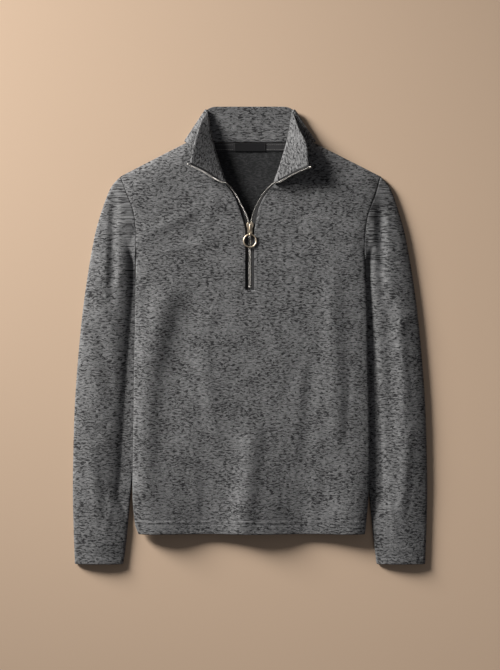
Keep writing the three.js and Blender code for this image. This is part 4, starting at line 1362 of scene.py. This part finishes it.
for side, sign in (("right", -1), ("left", 1)):
    length, course = zip_course(sign)
    at = np.sort(np.append(np.linspace(0, length, int(length / 2.2)), [7.2, 7.5]))
    width, turn, hold = (course[i](at) for i in (6, 7, 8))
    end = width - TEETH_WIDTH / 2 - TEETH_GAP * (1 + 2 * np.sin(np.pi * turn))
    end = np.where(at <= TAPE_JOIN_Y - TAPE_FOOT_Y + 0.01, 8.1 - 0.15, end)
    grid = []
    for share in (0, 0.12, 0.3, 0.5, 0.7, 0.88, 1):
        distance = mix(-hold, end, share)
        points, _ = zip_points(course, at, distance)
        behind = (turn < 0.001) & (distance < 0)
        below = front_bottom(points[:, 0], points[:, 1]) - TAPE_GAP - ZIP_TAPE / 2
        points[:, 2] = np.where(behind, below, points[:, 2])
        grid.append(points)
    grid = np.stack(grid, axis=1)
    normal = surface_normals(grid)
    flat = np.dstack([arc_lengths(grid, 1), np.repeat(at[:, None], grid.shape[1], axis=1)])
    half = ZIP_TAPE / 2
    tape = cloth_piece(
        f"zip_tape_cloth_{side}",
        grid + normal * half,
        grid - normal * half,
        flat,
        [zip_tape_cloth, zip_tape_cloth],
    )
    fix_to_garment(tape, f"zip_tape_{side}")

    first_tooth = ZIP_FOOT_Y - TAPE_FOOT_Y + 0.8 + (TOOTH_PITCH / 2 if sign > 0 else 0)
    stops = np.arange(first_tooth, length - 0.6, TOOTH_PITCH)
    centres, ways = zip_points(course, stops, course[6](stops) + TOOTH_REACH / 2)
    ahead, _ = zip_points(course, stops + 0.5, course[6](stops + 0.5))
    behind, _ = zip_points(course, stops - 0.5, course[6](stops - 0.5))
    runs = unit(ahead - behind)
    ups = unit(np.cross(ways, runs))
    ways = np.cross(runs, ups)
    tooth_size = (TEETH_WIDTH + TOOTH_REACH, TOOTH_LENGTH, TEETH_THICK)
    points, faces = small_blocks(centres, ways, runs, ups, tooth_size)
    teeth = solid_piece(f"zip_tooth_row_{side}", points, faces, [teeth_metal])
    fix_to_garment(teeth, f"zip_teeth_{side}")

    last, way = zip_points(course, np.array([length]), course[6](np.array([length])))
    before, _ = zip_points(course, np.array([length - 4]), course[6](np.array([length - 4])))
    run = unit(last - before)
    up = unit(np.cross(way, run))
    points, faces = small_blocks(last + run * 1.8, way, run, up, (3.0, 3.0, 2.5))
    stop = solid_piece(f"zip_upper_stop_{side}", points, faces, [teeth_metal])
    fix_to_garment(stop, f"zip_top_stop_{side}")

zip_level = float(front_bottom(np.array(0.0), np.array(180.0))) - TAPE_GAP - ZIP_TAPE / 2
points, faces = small_blocks(
    np.array([[0, ZIP_FOOT_Y - 2.1, zip_level]]),
    np.array([[1.0, 0, 0]]),
    np.array([[0, 1.0, 0]]),
    np.array([[0, 0, 1.0]]),
    (5.2, 3.6, 2.5),
)
lower_stop = solid_piece("zip_lower_stop", points, faces, [teeth_metal])
fix_to_garment(lower_stop, "zip_bottom_stop")

# Slider. Two cast plates joined by a post at the mouth, with a crown on top and an eye at its
# lower end, in a pale gold finish.
SLIDER_TOP_Y = 202
SLIDER_FOOT_Y = 183.8
PIVOT_Y = 180
RING_WIRE = 1.3
RING_OUTER = 12.5
EYE_PLAY = 0.45
EYE_WALL = 1.35
EYE_WIDTH = 2.6
teeth_top = zip_level + TEETH_THICK / 2
eye_outer = RING_WIRE + EYE_PLAY + EYE_WALL
pivot_z = teeth_top + 0.3 + eye_outer


def swept(path, side, up, wide, high, closed, sides=20):
    """Points and faces of a rod along a path, wide along side and high along up."""
    path, side, up = (np.asarray(v, float) for v in (path, side, up))
    angle = np.arange(sides) * 2 * np.pi / sides
    wide = np.broadcast_to(wide, len(path))[:, None, None]
    high = np.broadcast_to(high, len(path))[:, None, None]
    points = path[:, None] + side[:, None] * wide * np.cos(angle)[None, :, None]
    points = points + up[:, None] * high * np.sin(angle)[None, :, None]
    rings = len(path)
    faces = []
    for r in range(rings if closed else rings - 1):
        for i in range(sides):
            j = (i + 1) % sides
            s = (r + 1) % rings
            faces.append((r * sides + i, r * sides + j, s * sides + j, s * sides + i))
    if not closed:
        faces.append(tuple(reversed(range(sides))))
        faces.append(tuple((rings - 1) * sides + i for i in range(sides)))
    return points.reshape(-1, 3), faces


def joined(parts):
    points, faces = [], []
    for part_points, part_faces in parts:
        faces += [tuple(i + len(points) for i in face) for face in part_faces]
        points += list(part_points)
    return points, faces


def outward_faces(piece):
    """Turns every closed part's faces outwards."""
    bpy.context.view_layer.objects.active = piece
    bpy.ops.object.select_all(action="DESELECT")
    piece.select_set(True)
    bpy.ops.object.mode_set(mode="EDIT")
    bpy.ops.mesh.select_all(action="SELECT")
    bpy.ops.mesh.normals_make_consistent(inside=False)
    bpy.ops.object.mode_set(mode="OBJECT")


def arc_to(points, control, end, steps=8):
    """Adds a quadratic curve from the last point."""
    start = np.array(points[-1], float)
    for i in range(1, steps + 1):
        t = i / steps
        point = start * (1 - t) ** 2 + 2 * np.array(control) * t * (1 - t) + np.array(end) * t * t
        points.append(tuple(point))


def slider_plate(shoulder, foot, low, thick):
    """A plate from its outline: narrow at the foot, two shoulders at the mouth."""
    outline = [(foot - 0.8, SLIDER_FOOT_Y - 2.2)]
    arc_to(outline, (foot, SLIDER_FOOT_Y - 2.2), (foot, SLIDER_FOOT_Y - 1.4), 4)
    outline.append((foot + 0.2, SLIDER_FOOT_Y + 8))
    arc_to(outline, (shoulder, SLIDER_FOOT_Y + 9.5), (shoulder, SLIDER_TOP_Y - 4))
    arc_to(outline, (shoulder - 0.2, SLIDER_TOP_Y), (shoulder - 3.2, SLIDER_TOP_Y))
    arc_to(outline, (shoulder / 2 - 2, SLIDER_TOP_Y - 1.4), (0, SLIDER_TOP_Y - 1.4), 4)
    mirrored = [(-x, y) for x, y in reversed(outline[:-1])]
    outline = np.array(outline + mirrored)
    centre = outline.mean(axis=0)
    count = len(outline)
    points, faces = [], []
    away = unit(outline - centre)
    rims = [(0, 0.5), (0.18, 0.14), (0.4, 0), (thick - 0.4, 0), (thick - 0.18, 0.14), (thick, 0.5)]
    for level, inset in rims:
        points += [(x, y, low + level) for x, y in outline - away * inset]
    for r in range(5):
        for i in range(count):
            j = (i + 1) % count
            faces.append((r * count + i, r * count + j, (r + 1) * count + j, (r + 1) * count + i))
    faces.append(tuple(reversed(range(count))))
    faces.append(tuple(5 * count + i for i in range(count)))
    return points, faces


upper_plate = slider_plate(6.1, 4, teeth_top + 0.3, 1.5)
lower_plate = slider_plate(6.1, 4, zip_level - TEETH_THICK / 2 - 0.3 - 1.2, 1.2)
post_z = np.linspace(zip_level - 2.4, zip_level + 2.4, 5)
post = swept(
    [(0, SLIDER_TOP_Y - 2.6, z) for z in post_z], [(1, 0, 0)] * 5, [(0, 1, 0)] * 5, 0.9, 0.9, False
)
crown_turn = np.linspace(0, np.pi, 19)
crown_y = 193 - 5.7 * np.cos(crown_turn)
crown_size = np.maximum(1.7 * np.sin(crown_turn) ** 0.45, 0.08)
crown_z = teeth_top + 0.3 + 1.5
crown = swept(
    [(0, y, crown_z) for y in crown_y],
    [(1, 0, 0)] * 19,
    [(0, 0, 1)] * 19,
    crown_size,
    crown_size,
    False,
)
eye_turn = np.arange(40) * 2 * np.pi / 40
eye_out = np.column_stack([np.zeros(40), np.cos(eye_turn), np.sin(eye_turn)])
eye_middle = eye_outer - EYE_WALL / 2
eye = swept(
    np.array([0, PIVOT_Y, pivot_z]) + eye_out * eye_middle,
    [(1, 0, 0)] * 40,
    eye_out,
    EYE_WIDTH / 2,
    EYE_WALL / 2,
    True,
)
points, faces = joined([upper_plate, lower_plate, post, crown, eye])
slider = solid_piece("zip_slider_cast", points, faces, [pale_gold])
outward_faces(slider)
slider.modifiers.new("even_shading", "WEIGHTED_NORMAL")
fix_to_garment(slider, "zip_slider")

# Pull ring. Round wire through the slider's eye, closed by a weld, which turns in the eye.
ring_turn = np.arange(96) * 2 * np.pi / 96
ring_out = np.column_stack([np.cos(ring_turn), np.sin(ring_turn), np.zeros(96)])
ring_centre = np.array([0, PIVOT_Y - RING_OUTER + RING_WIRE, pivot_z])
points, faces = swept(
    ring_centre + ring_out * (RING_OUTER - RING_WIRE),
    ring_out,
    [(0, 0, 1)] * 96,
    RING_WIRE,
    RING_WIRE,
    True,
    24,
)
ring = solid_piece("pull_ring_wire", points, faces, [pale_gold])
outward_faces(ring)
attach(ring, "pull_ring")
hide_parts("zip_ring")
